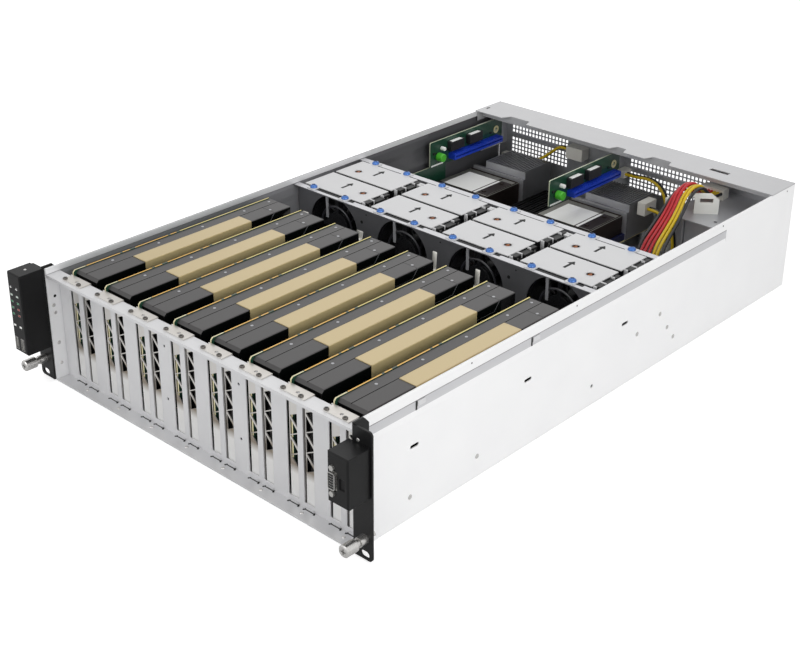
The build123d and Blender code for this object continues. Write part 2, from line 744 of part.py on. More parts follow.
# Thumbscrews: a knurled head on a shank that turns in a collar pressed on the ear
collar_long = 8.0
head_start = -28.0
head_long = 14.0
ear_face = front - ear_thick
with BuildPart() as thumbscrew_collars:
    for hand in (-1, 1):
        with BuildSketch(facing(ear_face)):
            with Locations((hand * rack_hole_x, thumb_z)):
                Circle(4.7)
                Circle(thumb_shank + running_gap, mode=Mode.SUBTRACT)
        extrude(amount=collar_long)
save(thumbscrew_collars.part, "thumbscrew_collars")

for name, hand in (("thumbscrew_left", -1), ("thumbscrew_right", 1)):
    x = hand * rack_hole_x
    with BuildPart() as screw:
        peg(x, thumb_z, front + head_start, front + head_start + head_long, thumb_head)
        rim = screw.edges().filter_by(GeomType.CIRCLE)
        chamfer(rim, 0.9)
        peg(x, thumb_z, front + head_start + head_long, ear_face - collar_long - fit_gap, 3.6)
        peg(x, thumb_z, ear_face - collar_long - fit_gap, front + 9, thumb_shank)
        with BuildSketch(facing(front + head_start + 2.2)):
            with Locations((x, thumb_z)):
                Rectangle(6.0, 1.2)
                Rectangle(1.2, 6.0)
        extrude(amount=2.2, mode=Mode.SUBTRACT)
    save(screw.part, name)

# Control box, left: a deep housing with two buttons, lamps in two columns and two ports
left_box_x = (-rack_reach, -rack_reach + 22.0)
left_box_z = (39.5, 129.0)
left_box_front = front - box_reach
lamp_columns = (-236.6, -226.6)
button_z = 113.0
button_size = (5.0, 3.4)
lamp_rows = (104.5, 97.0, 90.0, 83.0, 70.0)
lamp_size = (4.0, 2.0)
port_z = 49.5
port_size = (5.6, 13.6)
recess = 10.0
with BuildPart() as control_box_left:
    block(left_box_x[0], left_box_x[1], left_box_front, ear_face, left_box_z[0], left_box_z[1])
    rim = control_box_left.faces().sort_by(Axis.Y)[0].edges()
    chamfer(rim, 1.2)
    with BuildSketch(facing(left_box_front + recess)):
        for x in lamp_columns:
            with Locations((x, button_z)):
                Rectangle(button_size[0] + 2 * fit_gap, button_size[1] + 2 * fit_gap)
            with Locations((x, port_z)):
                Rectangle(port_size[0] + 0.2, port_size[1] + 0.2)
    extrude(amount=recess, mode=Mode.SUBTRACT)
    with BuildSketch(facing(left_box_front + 1.0)):
        for x in lamp_columns:
            for z in lamp_rows:
                with Locations((x, z)):
                    Rectangle(lamp_size[0] + 0.2, lamp_size[1] + 0.2)
    extrude(amount=1.0, mode=Mode.SUBTRACT)
save(control_box_left.part, "control_box_left")

button_travel = 1.0
for name, x in (("power_button", lamp_columns[0]), ("id_button", lamp_columns[1])):
    with BuildPart() as button:
        with BuildSketch(facing(left_box_front + recess - button_travel - fit_gap)):
            with Locations((x, button_z)):
                Rectangle(*button_size)
        extrude(amount=recess - button_travel - fit_gap)
        crown = button.faces().sort_by(Axis.Y)[0].edges()
        chamfer(crown, 0.4)
    save(button.part, name)

with BuildPart() as status_lenses:
    for x in lamp_columns:
        for z in lamp_rows:
            block(x - lamp_size[0] / 2, x + lamp_size[0] / 2, left_box_front, left_box_front + 1.0,
                  z - lamp_size[1] / 2, z + lamp_size[1] / 2)
save(status_lenses.part, "status_lenses")

with BuildPart() as usb_ports:
    for x in lamp_columns:
        wide, tall = port_size
        block(x - wide / 2, x + wide / 2, left_box_front, left_box_front + recess,
              port_z - tall / 2, port_z + tall / 2)
        block(x - wide / 2 + 0.4, x + wide / 2 - 0.4, left_box_front - 1, left_box_front + 9,
              port_z - tall / 2 + 0.5, port_z + tall / 2 - 0.5, Mode.SUBTRACT)
        block(x - 1.9, x - 0.1, left_box_front + 0.8, left_box_front + 9, port_z - tall / 2 + 1.2,
              port_z + tall / 2 - 1.2)
save(usb_ports.part, "usb_ports")

# Control box, right: a smaller housing with an upright video socket
right_box_x = (215.2, 239.2)
right_box_z = (65.5, 114.0)
right_box_front = front - 28.0
video_x = 221.5
video_z = 88.0
with BuildPart() as control_box_right:
    block(right_box_x[0], right_box_x[1], right_box_front, ear_face, right_box_z[0], right_box_z[1])
    rim = control_box_right.faces().sort_by(Axis.Y)[0].edges()
    chamfer(rim, 1.2)
    with BuildSketch(facing(right_box_front + 6)):
        with Locations((video_x, video_z)):
            RectangleRounded(10.2, 19.2, 2)
            with Locations((0, 12.5), (0, -12.5)):
                Circle(1.5)
    extrude(amount=6, mode=Mode.SUBTRACT)
    with BuildSketch(facing(right_box_front + 1.2)):
        with Locations((232.5, video_z)):
            Rectangle(6.5, 11)
    extrude(amount=1.2, mode=Mode.SUBTRACT)
save(control_box_right.part, "control_box_right")

with BuildPart() as video_port:
    with BuildSketch(facing(right_box_front + 6)):
        with Locations((video_x, video_z)):
            RectangleRounded(10.0, 19.0, 1.9)
    extrude(amount=5)
    with BuildSketch(facing(right_box_front + 1)):
        with Locations((video_x, video_z)):
            RectangleRounded(8.2, 16.6, 2.4)
    extrude(amount=3)
    with BuildSketch(facing(right_box_front - 0.5)):
        with Locations((video_x, video_z)):
            with GridLocations(2.2, 2.6, 3, 5):
                Circle(0.45)
    extrude(amount=2, mode=Mode.SUBTRACT)
    for dz in (12.5, -12.5):
        with BuildSketch(facing(right_box_front)):
            with Locations((video_x, video_z + dz)):
                RegularPolygon(2.8, 6)
        extrude(amount=2)
        peg(video_x, video_z + dz, right_box_front, right_box_front + 5, 1.4)
save(video_port.part, "video_port")

# Cable bracket: an arch that stands on the supply shelf and keeps the cable loop off it
arch_start = (127.6, front + 634.6)
arch_turn = 37.6
arch_long = 43.4
arch_high = 25.0
arch_thick = 2.0
with BuildPart() as cable_bracket:
    face = Plane(origin=(arch_start[0], arch_start[1], shelf_z + sheet), z_dir=(
        math.sin(math.radians(arch_turn)), -math.cos(math.radians(arch_turn)), 0),
        x_dir=(math.cos(math.radians(arch_turn)), math.sin(math.radians(arch_turn)), 0))
    with BuildSketch(face):
        Polygon((0, 0), (0, arch_high), (arch_long - 9, arch_high), (arch_long, arch_high - 7),
                (arch_long, 0), (15.5, 0), (15.5, arch_high - 5), (2.4, arch_high - 5), (2.4, 0),
                align=None)
        with Locations((29.0, arch_high - 8.5)):
            Rectangle(15, 5, mode=Mode.SUBTRACT)
    extrude(amount=arch_thick)
    foot = Plane(origin=(arch_start[0], arch_start[1], shelf_z + sheet), z_dir=(0, 0, 1),
                 x_dir=(math.cos(math.radians(arch_turn)), math.sin(math.radians(arch_turn)), 0))
    with BuildSketch(foot):
        with Locations((29.5, 3.5)):
            Rectangle(28, 7)
    extrude(amount=1.5)
save(cable_bracket.part, "cable_bracket")

# Cables: each wire is a tube of straight runs and tangent arcs. Wires of one bundle lie in planes
# side by side, so that they touch nothing.
wire_radius = 1.8
wire_pitch = 4.2
loop_x = 116.9
loop_plug_y = 700.0
loop_plug_z = 104.0
floor_plug_top = 12.0


def corner_radii(points):
    radii = []
    for a, b, c in zip(points, points[1:], points[2:]):
        before = Vector(*b) - Vector(*a)
        after = Vector(*c) - Vector(*b)
        half_turn = math.radians(before.get_angle(after)) / 2
        radii.append(0.45 * min(before.length, after.length) / math.tan(half_turn))
    return radii


def wire(name, route):
    points = [(x, front + y, z) for x, y, z in route]
    radii = corner_radii(points)
    with BuildLine():
        run = FilletPolyline(*points, radius=radii)
    with BuildSketch(Plane(run @ 0, z_dir=run % 0)) as section:
        Circle(wire_radius)
    sweep(section.sketch, path=run)
    print(name, "radii", [round(r, 1) for r in radii], "length", round(run.length, 1))


def loop(name, place, fan, high, start_y):
    """A wire that climbs from the floor, passes over the arch and drops to the shelf's plug."""
    x = loop_x + wire_pitch * place
    line = [(1.0, start_y, floor_plug_top + 0.2), (0.85, start_y, 44), (0.6, start_y + 5, 66),
            (0.4, 569, 80), (0.2, 591, 90), (0.05, 612, 102), (0, 628, high - 6.5), (0, 641, high),
            (0, 657, high - 1.5), (0, 673, max(high - 15, loop_plug_z + 1)),
            (0, 687, loop_plug_z), (0, loop_plug_y, loop_plug_z)]
    wire(name, [(x + fan * part, y, z) for part, y, z in line])


def flat_wire(name, y, line):
    wire(name, [(x, y, z) for x, z in line])


left_line = [(-189, 62), (-174, 62), (-154, 65), (-135, 73), (-119, 87), (-107, 97), (-94, 97)]
right_line = [(-3, 86), (12, 86), (30, 88.5), (45, 84.5), (56, 72.5), (60, 54), (61.5, 34),
              (61.5, floor_plug_top)]
drop_line = [(61, 70), (74, 70), (88, 64), (97, 50), (100, 32), (100, floor_plug_top)]
with BuildPart() as red_cables:
    loop("red_cables", 1, 11, 124.0, 549)
    loop("red_cables", 2, 13, 128.0, 546)
    loop("red_cables", 3, 15, 129.0, 548)
save(red_cables.part, "red_cables")
with BuildPart() as yellow_cables:
    loop("yellow_cables", 4, 17, 127.0, 551)
    loop("yellow_cables", 5, 19, 128.2, 547)
    flat_wire("yellow_cables", 716.0, left_line)
    flat_wire("yellow_cables", 716.0, right_line)
    flat_wire("yellow_cables", 672.0, drop_line)
save(yellow_cables.part, "yellow_cables")
with BuildPart() as black_cables:
    loop("black_cables", 0, 9, 119.0, 552)
    loop("black_cables", 6, 21, 126.0, 553)
    flat_wire("black_cables", 720.4, left_line)
    flat_wire("black_cables", 720.4, right_line)
    flat_wire("black_cables", 676.4, drop_line)
save(black_cables.part, "black_cables")

# Plugs: the wires' ends on the floor, on the shelf, on the left port block and at the rear panel
blank_face = panel_y - 1.0
port_top = port_low + port_sizes[0][2]
with BuildPart() as cable_plugs:
    block(120, 168, front + 538, front + 560, sheet, floor_plug_top)
    block(loop_x - 2.6, loop_x + 6 * wire_pitch + 2.6, front + loop_plug_y, front + loop_plug_y + 13,
          shelf_z + sheet, 108.5)
    block(-200, -189, front + 713, front + 723.5, port_top, 66.5)
    block(-94, -69, front + 712.5, blank_face, 86, 102)
    block(-13, -3, front + 712.5, blank_face, 81, 91)
    block(54, 69, front + 712, front + 724.5, sheet, floor_plug_top)
    block(50, 61, front + 666, front + 690, 62, 78)
    block(93, 107, front + 668, front + 680.5, sheet, floor_plug_top)
save(cable_plugs.part, "cable_plugs")
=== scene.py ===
import bpy
import bmesh
import math
import random
from mathutils import Matrix, Vector


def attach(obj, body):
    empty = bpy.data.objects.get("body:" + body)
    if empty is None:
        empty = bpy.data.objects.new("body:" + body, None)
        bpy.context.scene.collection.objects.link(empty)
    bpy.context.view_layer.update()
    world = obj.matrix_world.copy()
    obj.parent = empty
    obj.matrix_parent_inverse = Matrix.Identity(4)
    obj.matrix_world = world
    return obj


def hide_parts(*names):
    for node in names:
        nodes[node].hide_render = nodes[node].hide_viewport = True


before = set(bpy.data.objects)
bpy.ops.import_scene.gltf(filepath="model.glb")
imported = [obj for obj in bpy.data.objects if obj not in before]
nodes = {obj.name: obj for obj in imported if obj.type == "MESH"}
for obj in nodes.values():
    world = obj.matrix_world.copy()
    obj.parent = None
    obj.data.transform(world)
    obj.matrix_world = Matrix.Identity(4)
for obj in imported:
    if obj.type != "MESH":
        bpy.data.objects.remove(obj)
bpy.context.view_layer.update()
mm = 0.001
frontY = -363.0  # the body's front edge; every Y below counts from it, in millimetres
cards = {"count": 8, "first": -196.4, "pitch": 53.33, "top": 126.9}
fans = {"count": 4, "first": -158.0, "pitch": 106.5, "rows": (357.0, 410.5), "axis": 81.0}
boardX = [cards["first"] + cards["pitch"] * i for i in range(cards["count"])]
fanX = [fans["first"] + fans["pitch"] * i for i in range(fans["count"])]
plateTop = 123.0  # the fan carriers and the front panel's screw shelf
mainboardTop = 30.1
slotBoardTop = 8.6
print("frame loaded:", len(nodes), "nodes")


# Camera and light
cameraView = {"place": (0.92031, -1.0722, 0.73279), "turn": 43.52, "tilt": 25.22, "roll": -0.1,
              "lens": 63.77, "sensor": 36.0, "shift": (0.0272, -0.0728), "reach": 50}


def aimed(turn, tilt, roll):
    back = Vector((math.sin(turn) * math.cos(tilt), -math.cos(turn) * math.cos(tilt), math.sin(tilt)))
    right = Vector((math.cos(turn), math.sin(turn), 0.0))
    up = back.cross(right)
    rightRolled = right * math.cos(roll) + up * math.sin(roll)
    upRolled = up * math.cos(roll) - right * math.sin(roll)
    return Matrix((rightRolled, upRolled, back)).transposed().to_4x4()


camera = bpy.data.objects.new("camera", bpy.data.cameras.new("camera"))
camera.data.lens = cameraView["lens"]
camera.data.sensor_width = cameraView["sensor"]
camera.data.shift_x, camera.data.shift_y = cameraView["shift"]
camera.data.clip_end = cameraView["reach"]
camera.matrix_world = Matrix.Translation(cameraView["place"]) @ aimed(
    *[math.radians(cameraView[key]) for key in ("turn", "tilt", "roll")])
bpy.context.scene.collection.objects.link(camera)
bpy.context.scene.camera = camera
bpy.context.scene.view_settings.view_transform = "Standard"

# name: place and size in metres, watts; all look at the middle of the part
lamps = {"sideKey": ((2.3, -0.7, 1.0), 1.6, 25.0), "topFill": ((-0.4, 0.2, 2.6), 2.0, 10.0),
         "frontFill": ((-0.5, -2.5, 0.9), 1.4, 14.0), "rearFill": ((-1.6, 2.0, 1.6), 1.8, 5.0)}
lampTarget = Vector((0, 0, 0.06))
for name, (place, size, watts) in lamps.items():
    light = bpy.data.lights.new(name, "AREA")
    light.size = size
    light.energy = watts
    lamp = bpy.data.objects.new(name, light)
    aim = (Vector(place) - lampTarget).to_track_quat("Z", "Y")
    lamp.matrix_world = Matrix.Translation(place) @ aim.to_matrix().to_4x4()
    bpy.context.scene.collection.objects.link(lamp)


def linear(hexColor):
    channels = [int(hexColor[i:i + 2], 16) / 255 for i in (0, 2, 4)]
    return [c / 12.92 if c <= 0.04045 else ((c + 0.055) / 1.055) ** 2.4 for c in channels] + [1.0]


def addNode(tree, kind, settings=None, links=None):
    node = tree.nodes.new(kind)
    for name, value in (settings or {}).items():
        if isinstance(name, int) or name in node.inputs:
            node.inputs[name].default_value = value
        else:
            setattr(node, name, value)
    for name, socket in (links or {}).items():
        tree.links.new(socket, node.inputs[name])
    return node


# World: soft light on the part, plain white for the lens, for reflections and through clear things
skyLevel = {"onPart": 0.50, "seen": 1.0}
world = bpy.data.worlds.new("studio")
bpy.context.scene.world = world
world.use_nodes = True
tree = world.node_tree
tree.nodes.clear()
rays = addNode(tree, "ShaderNodeLightPath")
seen = addNode(tree, "ShaderNodeMath", {"operation": "MAXIMUM"},
               {0: rays.outputs["Is Camera Ray"], 1: rays.outputs["Is Glossy Ray"]})
seen = addNode(tree, "ShaderNodeMath", {"operation": "MAXIMUM"},
               {0: seen.outputs[0], 1: rays.outputs["Is Transmission Ray"]})
level = addNode(tree, "ShaderNodeMapRange", {"To Min": skyLevel["onPart"], "To Max": skyLevel["seen"]},
                {"Value": seen.outputs[0]})
sky = addNode(tree, "ShaderNodeBackground", {"Color": (1, 1, 1, 1)}, {"Strength": level.outputs[0]})
addNode(tree, "ShaderNodeOutputWorld", links={"Surface": sky.outputs[0]})
print("camera and light set")


# Card edge: cream and gold contacts along the laminate's top edge, in millimetres behind the front
cardEdge = {"start": 15, "length": 300,
            "places": [(15, "E4DBAF"), (33, "2A3A22"), (34, "EDB544"), (76, "2A3A22"), (79.5, "EDB544"),
                       (89, "2A3A22"), (96, "EDB544"), (140, "2A3A22"), (143.5, "EDB544"), (152, "2A3A22"),
                       (156, "E0CC74")]}
cardSpan = (frontY + cardEdge["start"], frontY + cardEdge["start"] + cardEdge["length"])
edgeBands = [((place - cardEdge["start"]) / cardEdge["length"], shade) for place, shade in cardEdge["places"]]


# Surfaces. Grain and patch are real sizes in millimetres, relief is the height of the grain and
# edge the radius that a worn or pressed edge catches the light with.
def overlaid(tree, base, mask, shade, roughness):
    mixed = addNode(tree, "ShaderNodeMix", {"data_type": "RGBA"}, {0: mask, 6: base[0], 7: shade})
    level = addNode(tree, "ShaderNodeMix", {3: roughness}, {0: mask, 2: base[1]})
    return mixed.outputs[2], level.outputs[0]


# other colours and gloss where the surface faces one way, in bands along X, Y or Z: real edge colours, or
# painted light, shade and reflection
def facingOver(tree, base, facing, apart):
    normal = addNode(tree, "ShaderNodeNewGeometry")
    toward = addNode(tree, "ShaderNodeVectorMath", {"operation": "DOT_PRODUCT", 1: facing["axis"]},
                     {0: normal.outputs["Normal"]})
    mask = addNode(tree, "ShaderNodeMath", {"operation": "GREATER_THAN", 1: facing["limit"]},
                   {0: toward.outputs["Value"]})
    low, high = facing.get("span", cardSpan)
    share = addNode(tree, "ShaderNodeMapRange", {"From Min": low * mm, "From Max": high * mm},
                    {"Value": apart.outputs[facing.get("along", "Y")]})
    bands = addNode(tree, "ShaderNodeValToRGB", links={0: share.outputs[0]})
    bands.color_ramp.interpolation = facing.get("blend", "CONSTANT")
    starts = facing["bands"]
    while len(bands.color_ramp.elements) < len(starts):
        bands.color_ramp.elements.new(1.0)
    for stop, (start, shade) in zip(bands.color_ramp.elements, starts):
        stop.position = start
        stop.color = linear(shade)
    for stop in list(bands.color_ramp.elements)[len(starts):]:
        stop.color = linear(starts[-1][1])
    return overlaid(tree, base, mask.outputs[0], bands.outputs[0], facing["roughness"])


# painted shade on a wall's stepped band, or painted pale light on a hem, known by its distance from the
# middle
paintedBandLook = {"within": 0.12, "roughness": 0.45}


def paintedBandOver(tree, base, paintedBand, apart, patch):
    away = addNode(tree, "ShaderNodeMath", {"operation": "ABSOLUTE"}, {0: apart.outputs["X"]})
    mask = addNode(tree, "ShaderNodeMath", {"operation": "COMPARE", 1: paintedBand["away"] * mm,
                                            2: paintedBandLook["within"] * mm}, {0: away.outputs[0]})
    shade = addNode(tree, "ShaderNodeMix", {"data_type": "RGBA", 6: linear(paintedBand["color"]),
                                            7: linear(paintedBand["worn"])}, {0: patch.outputs["Fac"]})
    return overlaid(tree, base, mask.outputs[0], shade.outputs[2], paintedBandLook["roughness"])


def surface(name, look):
    material = bpy.data.materials.new(name)
    material.use_nodes = True
    tree = material.node_tree
    tree.nodes.clear()
    shader = addNode(tree, "ShaderNodeBsdfPrincipled", {"Metallic": look.get("metallic", 0.0)})
    for socket in ("Specular IOR Level", "Coat Weight"):
        if socket in look:
            shader.inputs[socket].default_value = look[socket]
    addNode(tree, "ShaderNodeOutputMaterial", links={"Surface": shader.outputs[0]})
    place = addNode(tree, "ShaderNodeTexCoord")
    drawn = addNode(tree, "ShaderNodeMapping", {"Scale": look.get("stretch", (1, 1, 1))},
                    {"Vector": place.outputs["Object"]})
    grain = addNode(tree, "ShaderNodeTexNoise", {"Scale": 1000 / look["grain"], "Detail": 3.0},
                    {"Vector": drawn.outputs[0]})
    patch = addNode(tree, "ShaderNodeTexNoise", {"Scale": 1000 / look["patch"], "Detail": 2.0},
                    {"Vector": place.outputs["Object"]})
    tint = addNode(tree, "ShaderNodeMix", {"data_type": "RGBA", 6: linear(look["color"]),
                                           7: linear(look["worn"])}, {0: patch.outputs["Fac"]})
    spread = look.get("spread", 0.05)
    rough = addNode(tree, "ShaderNodeMapRange", {"From Min": 0.3, "From Max": 0.7,
                                                 "To Min": look["roughness"] - spread,
                                                 "To Max": look["roughness"] + spread},
                    {"Value": grain.outputs["Fac"]})
    relief = addNode(tree, "ShaderNodeBump", {"Strength": 0.4, "Distance": look.get("relief", 0.02) * mm},
                     {"Height": grain.outputs["Fac"]})
    apart = addNode(tree, "ShaderNodeSeparateXYZ", links={0: place.outputs["Object"]})
    color, gloss = tint.outputs[2], rough.outputs[0]
    if "facing" in look:
        color, gloss = facingOver(tree, (color, gloss), look["facing"], apart)
    for paintedBand in look.get("paintedBands", ()):
        color, gloss = paintedBandOver(tree, (color, gloss), paintedBand, apart, patch)
    if "edge" in look:
        soft = addNode(tree, "ShaderNodeBevel", {"samples": 4, "Radius": look["edge"] * mm})
        tree.links.new(soft.outputs[0], relief.inputs["Normal"])
    tree.links.new(color, shader.inputs["Base Color"])
    tree.links.new(gloss, shader.inputs["Roughness"])
    tree.links.new(relief.outputs[0], shader.inputs["Normal"])
    return material


looks = {
    # zinc-plated sheet: cool satin metal with a faint drawn grain; its copies per part are partly painted
    # light and shade, palest on the lit walls, darker on front, tray, cover, rear, shelf and casing, and
    # darkest in zincInShade
    "zincWall": {"color": "FAFAFA", "worn": "F3F3F4", "metallic": 0.2, "roughness": 0.42, "grain": 1.4,
                 "stretch": (1, 0.06, 1), "patch": 60, "edge": 0.5,
                 "paintedBands": [{"away": 218.1, "color": "CFCFD1", "worn": "C6C6C9"}]},
    "zincFront": {"color": "DEDEDF", "worn": "D2D2D4", "metallic": 0.3, "roughness": 0.38, "grain": 1.2,
                  "stretch": (1, 1, 0.08), "patch": 25, "edge": 0.5},
    "zincTray": {"color": "DCDCDD", "worn": "CCCCCE", "metallic": 0.4, "roughness": 0.38, "grain": 1.4,
                 "stretch": (1, 0.06, 1), "patch": 50, "edge": 0.4},
    "zincCover": {"color": "C6C6C7", "worn": "BDBDBF", "metallic": 0.35, "roughness": 0.42, "grain": 1.4,
                  "stretch": (0.06, 1, 1), "patch": 80, "edge": 0.4},
    "zincRear": {"color": "C4C5C8", "worn": "B4B5B9", "metallic": 0.6, "roughness": 0.36, "grain": 1.2,
                 "stretch": (0.08, 1, 1), "patch": 40},
    "zincShelf": {"color": "C6C7CA", "worn": "B6B7BB", "metallic": 0.5, "roughness": 0.4, "grain": 1.2,
                  "stretch": (1, 0.08, 1), "patch": 40},
    "zincCasing": {"color": "C2C3C6", "worn": "B0B1B5", "metallic": 0.65, "roughness": 0.34, "grain": 1.2,
                   "stretch": (1, 0.08, 1), "patch": 30},
    "zincInShade": {"color": "8C8C8E", "worn": "7E7E80", "metallic": 0.4, "roughness": 0.45, "grain": 0.8,
                    "patch": 20},
    # the fan wall's zinc sheet, painted darker grey as shade and as the dark cards it mirrors, with a dull
    # sheen
    "fanWallPaintedShade": {"color": "8E8E92", "worn": "7C7C80", "metallic": 0.6, "roughness": 0.42, "grain": 1.2,
                  "stretch": (0.08, 1, 1), "patch": 60},
    # carriers: fine satin plate, almost white from above
    "carrierPlate": {"color": "DBDBDC", "worn": "D5D5D6", "metallic": 0.15, "roughness": 0.5, "grain": 0.6,
                     "patch": 50, "relief": 0.008, "edge": 0.3},
    # nickel plate: a warm shine, brighter on screws and ports
    "nickelBracket": {"color": "D2CFCB", "worn": "BFBAB3", "metallic": 0.6, "roughness": 0.33, "grain": 0.8,
                      "stretch": (1, 1, 0.1), "patch": 14, "edge": 0.2},
    "screwNickel": {"color": "D2D1CF", "worn": "BFBDBA", "metallic": 0.9, "roughness": 0.26, "grain": 0.8,
                    "patch": 6},
    "portNickel": {"color": "C6C5C2", "worn": "AFAEAB", "metallic": 0.9, "roughness": 0.28, "grain": 0.8,
                   "patch": 8},
    # oxidised steel: dull brown-grey pan heads
    "darkSteel": {"color": "6B6763", "worn": "4E4B48", "metallic": 0.8, "roughness": 0.35, "grain": 0.6,
                  "patch": 4},
    # laminate under green lacquer, with a soft gloss; its cut edge is cream
    "greenBoard": {"color": "16392B", "worn": "1E4A37", "roughness": 0.34, "grain": 1.8, "patch": 7,
                   "relief": 0.05, "Coat Weight": 0.3},
    "creamEdge": {"color": "E6DDAE", "worn": "D8CE9B", "roughness": 0.5, "grain": 0.8, "patch": 10},
    # moulded plastics: a fine spark-eroded grain, dull to satin
    "fanPlastic": {"color": "1C1C1E", "worn": "242427", "roughness": 0.3, "grain": 0.7, "patch": 20,
                   "edge": 0.5},
    # the bell's lighter grey is a painted highlight on its rim
    "fanBellHighlight": {"color": "34343A", "worn": "2A2A2E", "roughness": 0.35, "grain": 0.8, "patch": 12},
    "nylonBlack": {"color": "0A0A0B", "worn": "101011", "roughness": 0.44, "Specular IOR Level": 0.3,
                   "grain": 0.7, "patch": 12},
    "nylonBlue": {"color": "2145C8", "worn": "1B3AAE", "roughness": 0.34, "grain": 0.7, "patch": 16},
    "nylonNavy": {"color": "141B4A", "worn": "0F1538", "roughness": 0.36, "grain": 0.7, "patch": 16},
    "nylonWhite": {"color": "E9E7E0", "worn": "DEDBD2", "roughness": 0.42, "grain": 0.8, "patch": 8},
    "nylonGrey": {"color": "B9BABD", "worn": "A9AAAE", "roughness": 0.4, "grain": 0.8, "patch": 8},
    "archWhite": {"color": "EDEDE8", "worn": "E2E2DB", "roughness": 0.38, "grain": 0.8, "patch": 14},
    "boxPlastic": {"color": "0B0B0C", "worn": "0F0F10", "roughness": 0.42, "Specular IOR Level": 0.22,
                   "grain": 0.5, "patch": 20, "relief": 0.03, "edge": 1.2},
    "keyPlastic": {"color": "3A3A3D", "worn": "343437", "roughness": 0.4, "grain": 0.5, "patch": 6},
    "jointPlastic": {"color": "6A6A6C", "worn": "5C5C5E", "roughness": 0.4, "grain": 0.8, "patch": 5},
    # powder coat: an orange-peel skin on black
    "powderBlack": {"color": "0E0E0F", "worn": "131314", "roughness": 0.4, "Specular IOR Level": 0.25,
                    "grain": 0.9, "patch": 15, "relief": 0.04, "edge": 0.8},
    # light guides: milky acrylic, plain or tinted
    "acrylicClear": {"color": "C9D4CC", "worn": "AEBBB2", "roughness": 0.25, "grain": 0.6, "patch": 3,
                     "Coat Weight": 0.6},
    "acrylicGreen": {"color": "3F8F66", "worn": "2F7A55", "roughness": 0.25, "grain": 0.6, "patch": 3},
    "acrylicRed": {"color": "A3332C", "worn": "8B2721", "roughness": 0.25, "grain": 0.6, "patch": 3},
    # blue-plated steel: bright clear coat over colour, with painted shade darkening the cross recess
    "bluePlated": {"color": "3E74BE", "worn": "2F60A8", "metallic": 0.45, "roughness": 0.28, "grain": 0.6,
                   "patch": 4, "Coat Weight": 0.4},
    "bluePlatedCrossShade": {"color": "16305C", "worn": "11264A", "metallic": 0.3, "roughness": 0.5, "grain": 0.6,
                       "patch": 4},
    # extruded aluminium fins, dull grey, and a copy painted almost black as the shade down in the stack
    "finAluminium": {"color": "87878A", "worn": "77777A", "metallic": 0.6, "roughness": 0.42, "grain": 0.8,
                     "stretch": (1, 0.1, 1), "patch": 30},
    "finPaintedShade": {"color": "352C29", "worn": "2B2422", "metallic": 0.7, "roughness": 0.4, "grain": 0.8,
                "stretch": (1, 0.1, 1), "patch": 30},
    # small parts: paper, epoxy, vinyl sleeve and drawn cans
    "paperLabel": {"color": "FAFAF8", "worn": "F4F4F1", "roughness": 0.55, "grain": 1.0, "patch": 14,
                   "relief": 0.01},
    "sleeveGreen": {"color": "58C83A", "worn": "49B02E", "roughness": 0.3, "grain": 1.0, "patch": 5},
    "chipEpoxy": {"color": "17171A", "worn": "202024", "roughness": 0.5, "grain": 0.8, "patch": 5},
    "canAluminium": {"color": "BDBEC1", "worn": "A6A7AB", "metallic": 0.8, "roughness": 0.3, "grain": 0.8,
                     "patch": 4},
    "copperTab": {"color": "9A5A2C", "worn": "7C431D", "metallic": 0.5, "roughness": 0.4, "grain": 0.8,
                  "patch": 3},
    # wire insulation: soft vinyl with a low gloss
    "vinylRed": {"color": "C81E2A", "worn": "B01822", "roughness": 0.38, "grain": 1.5, "patch": 9},
    "vinylYellow": {"color": "E3C21A", "worn": "CFAE12", "roughness": 0.38, "grain": 1.5, "patch": 9},
    "vinylBlack": {"color": "17171A", "worn": "202023", "roughness": 0.36, "grain": 1.5, "patch": 9},
    # the unlit inside of a hole or slot
    "darkHole": {"color": "0A0A0B", "worn": "0D0D0E", "roughness": 0.7, "grain": 1.0, "patch": 5},
}

# boards: their contacts and cut edges show where they face up and to the front
upFront = (0.0, -0.7071, 0.7071)
looks["cardBoard"] = dict(looks["greenBoard"], facing={
    "axis": upFront, "limit": 0.6, "roughness": 0.4, "bands": edgeBands})
looks["edgedBoard"] = dict(looks["greenBoard"], facing={
    "axis": upFront, "limit": 0.6, "roughness": 0.45, "bands": [(0.0, "C9D0B4")]})
# shroud: glossy black moulding, satin on top and nose with a grey painted sheen there, high gloss down the
# sides
looks["shroudPlasticPaintedSheen"] = {
    "color": "060607", "worn": "0A0A0B", "roughness": 0.14, "spread": 0.03, "grain": 1.0, "patch": 30,
    "relief": 0.01, "edge": 0.6,
    "facing": {"axis": (0, -0.35, 0.94), "limit": 0.5, "roughness": 0.42, "bands": [(0.0, "3A3838")]}}
# plates: fine-brushed champagne anodising, painted darker on top and paler on the sides as light and shade
looks["champagnePaintedLight"] = {
    "color": "E2CC98", "worn": "D8C18E", "metallic": 0.3, "roughness": 0.36, "grain": 0.9,
    "stretch": (1, 0.05, 1), "patch": 30, "edge": 1.4,
    "facing": {"axis": (0, 0, 1), "limit": 0.5, "roughness": 0.36, "bands": [(0.0, "C4B186")]}}
# brackets: bright nickel with a painted reflection, the dark gap under the cards painted as a brown band
# above each foot
looks["bracketPaintedReflection"] = dict(looks["nickelBracket"], facing={
    "axis": (0, -1, 0), "limit": 0.6, "roughness": 0.33, "along": "Z", "span": (0, 131), "blend": "LINEAR",
    "bands": [(0.0, "F0F0EF"), (0.24, "EDECEA"), (0.31, "8E8375"), (0.37, "9D9386"), (0.42, "D2CFCB"),
              (1.0, "D8D6D2")]})
# fan wall: its folded top flange is painted pale as lit, like the other zinc
looks["fanWallSheet"] = dict(looks["fanWallPaintedShade"], facing={
    "axis": (0, 0, 1), "limit": 0.7, "roughness": 0.42, "bands": [(0.0, "C4C4C7")]})
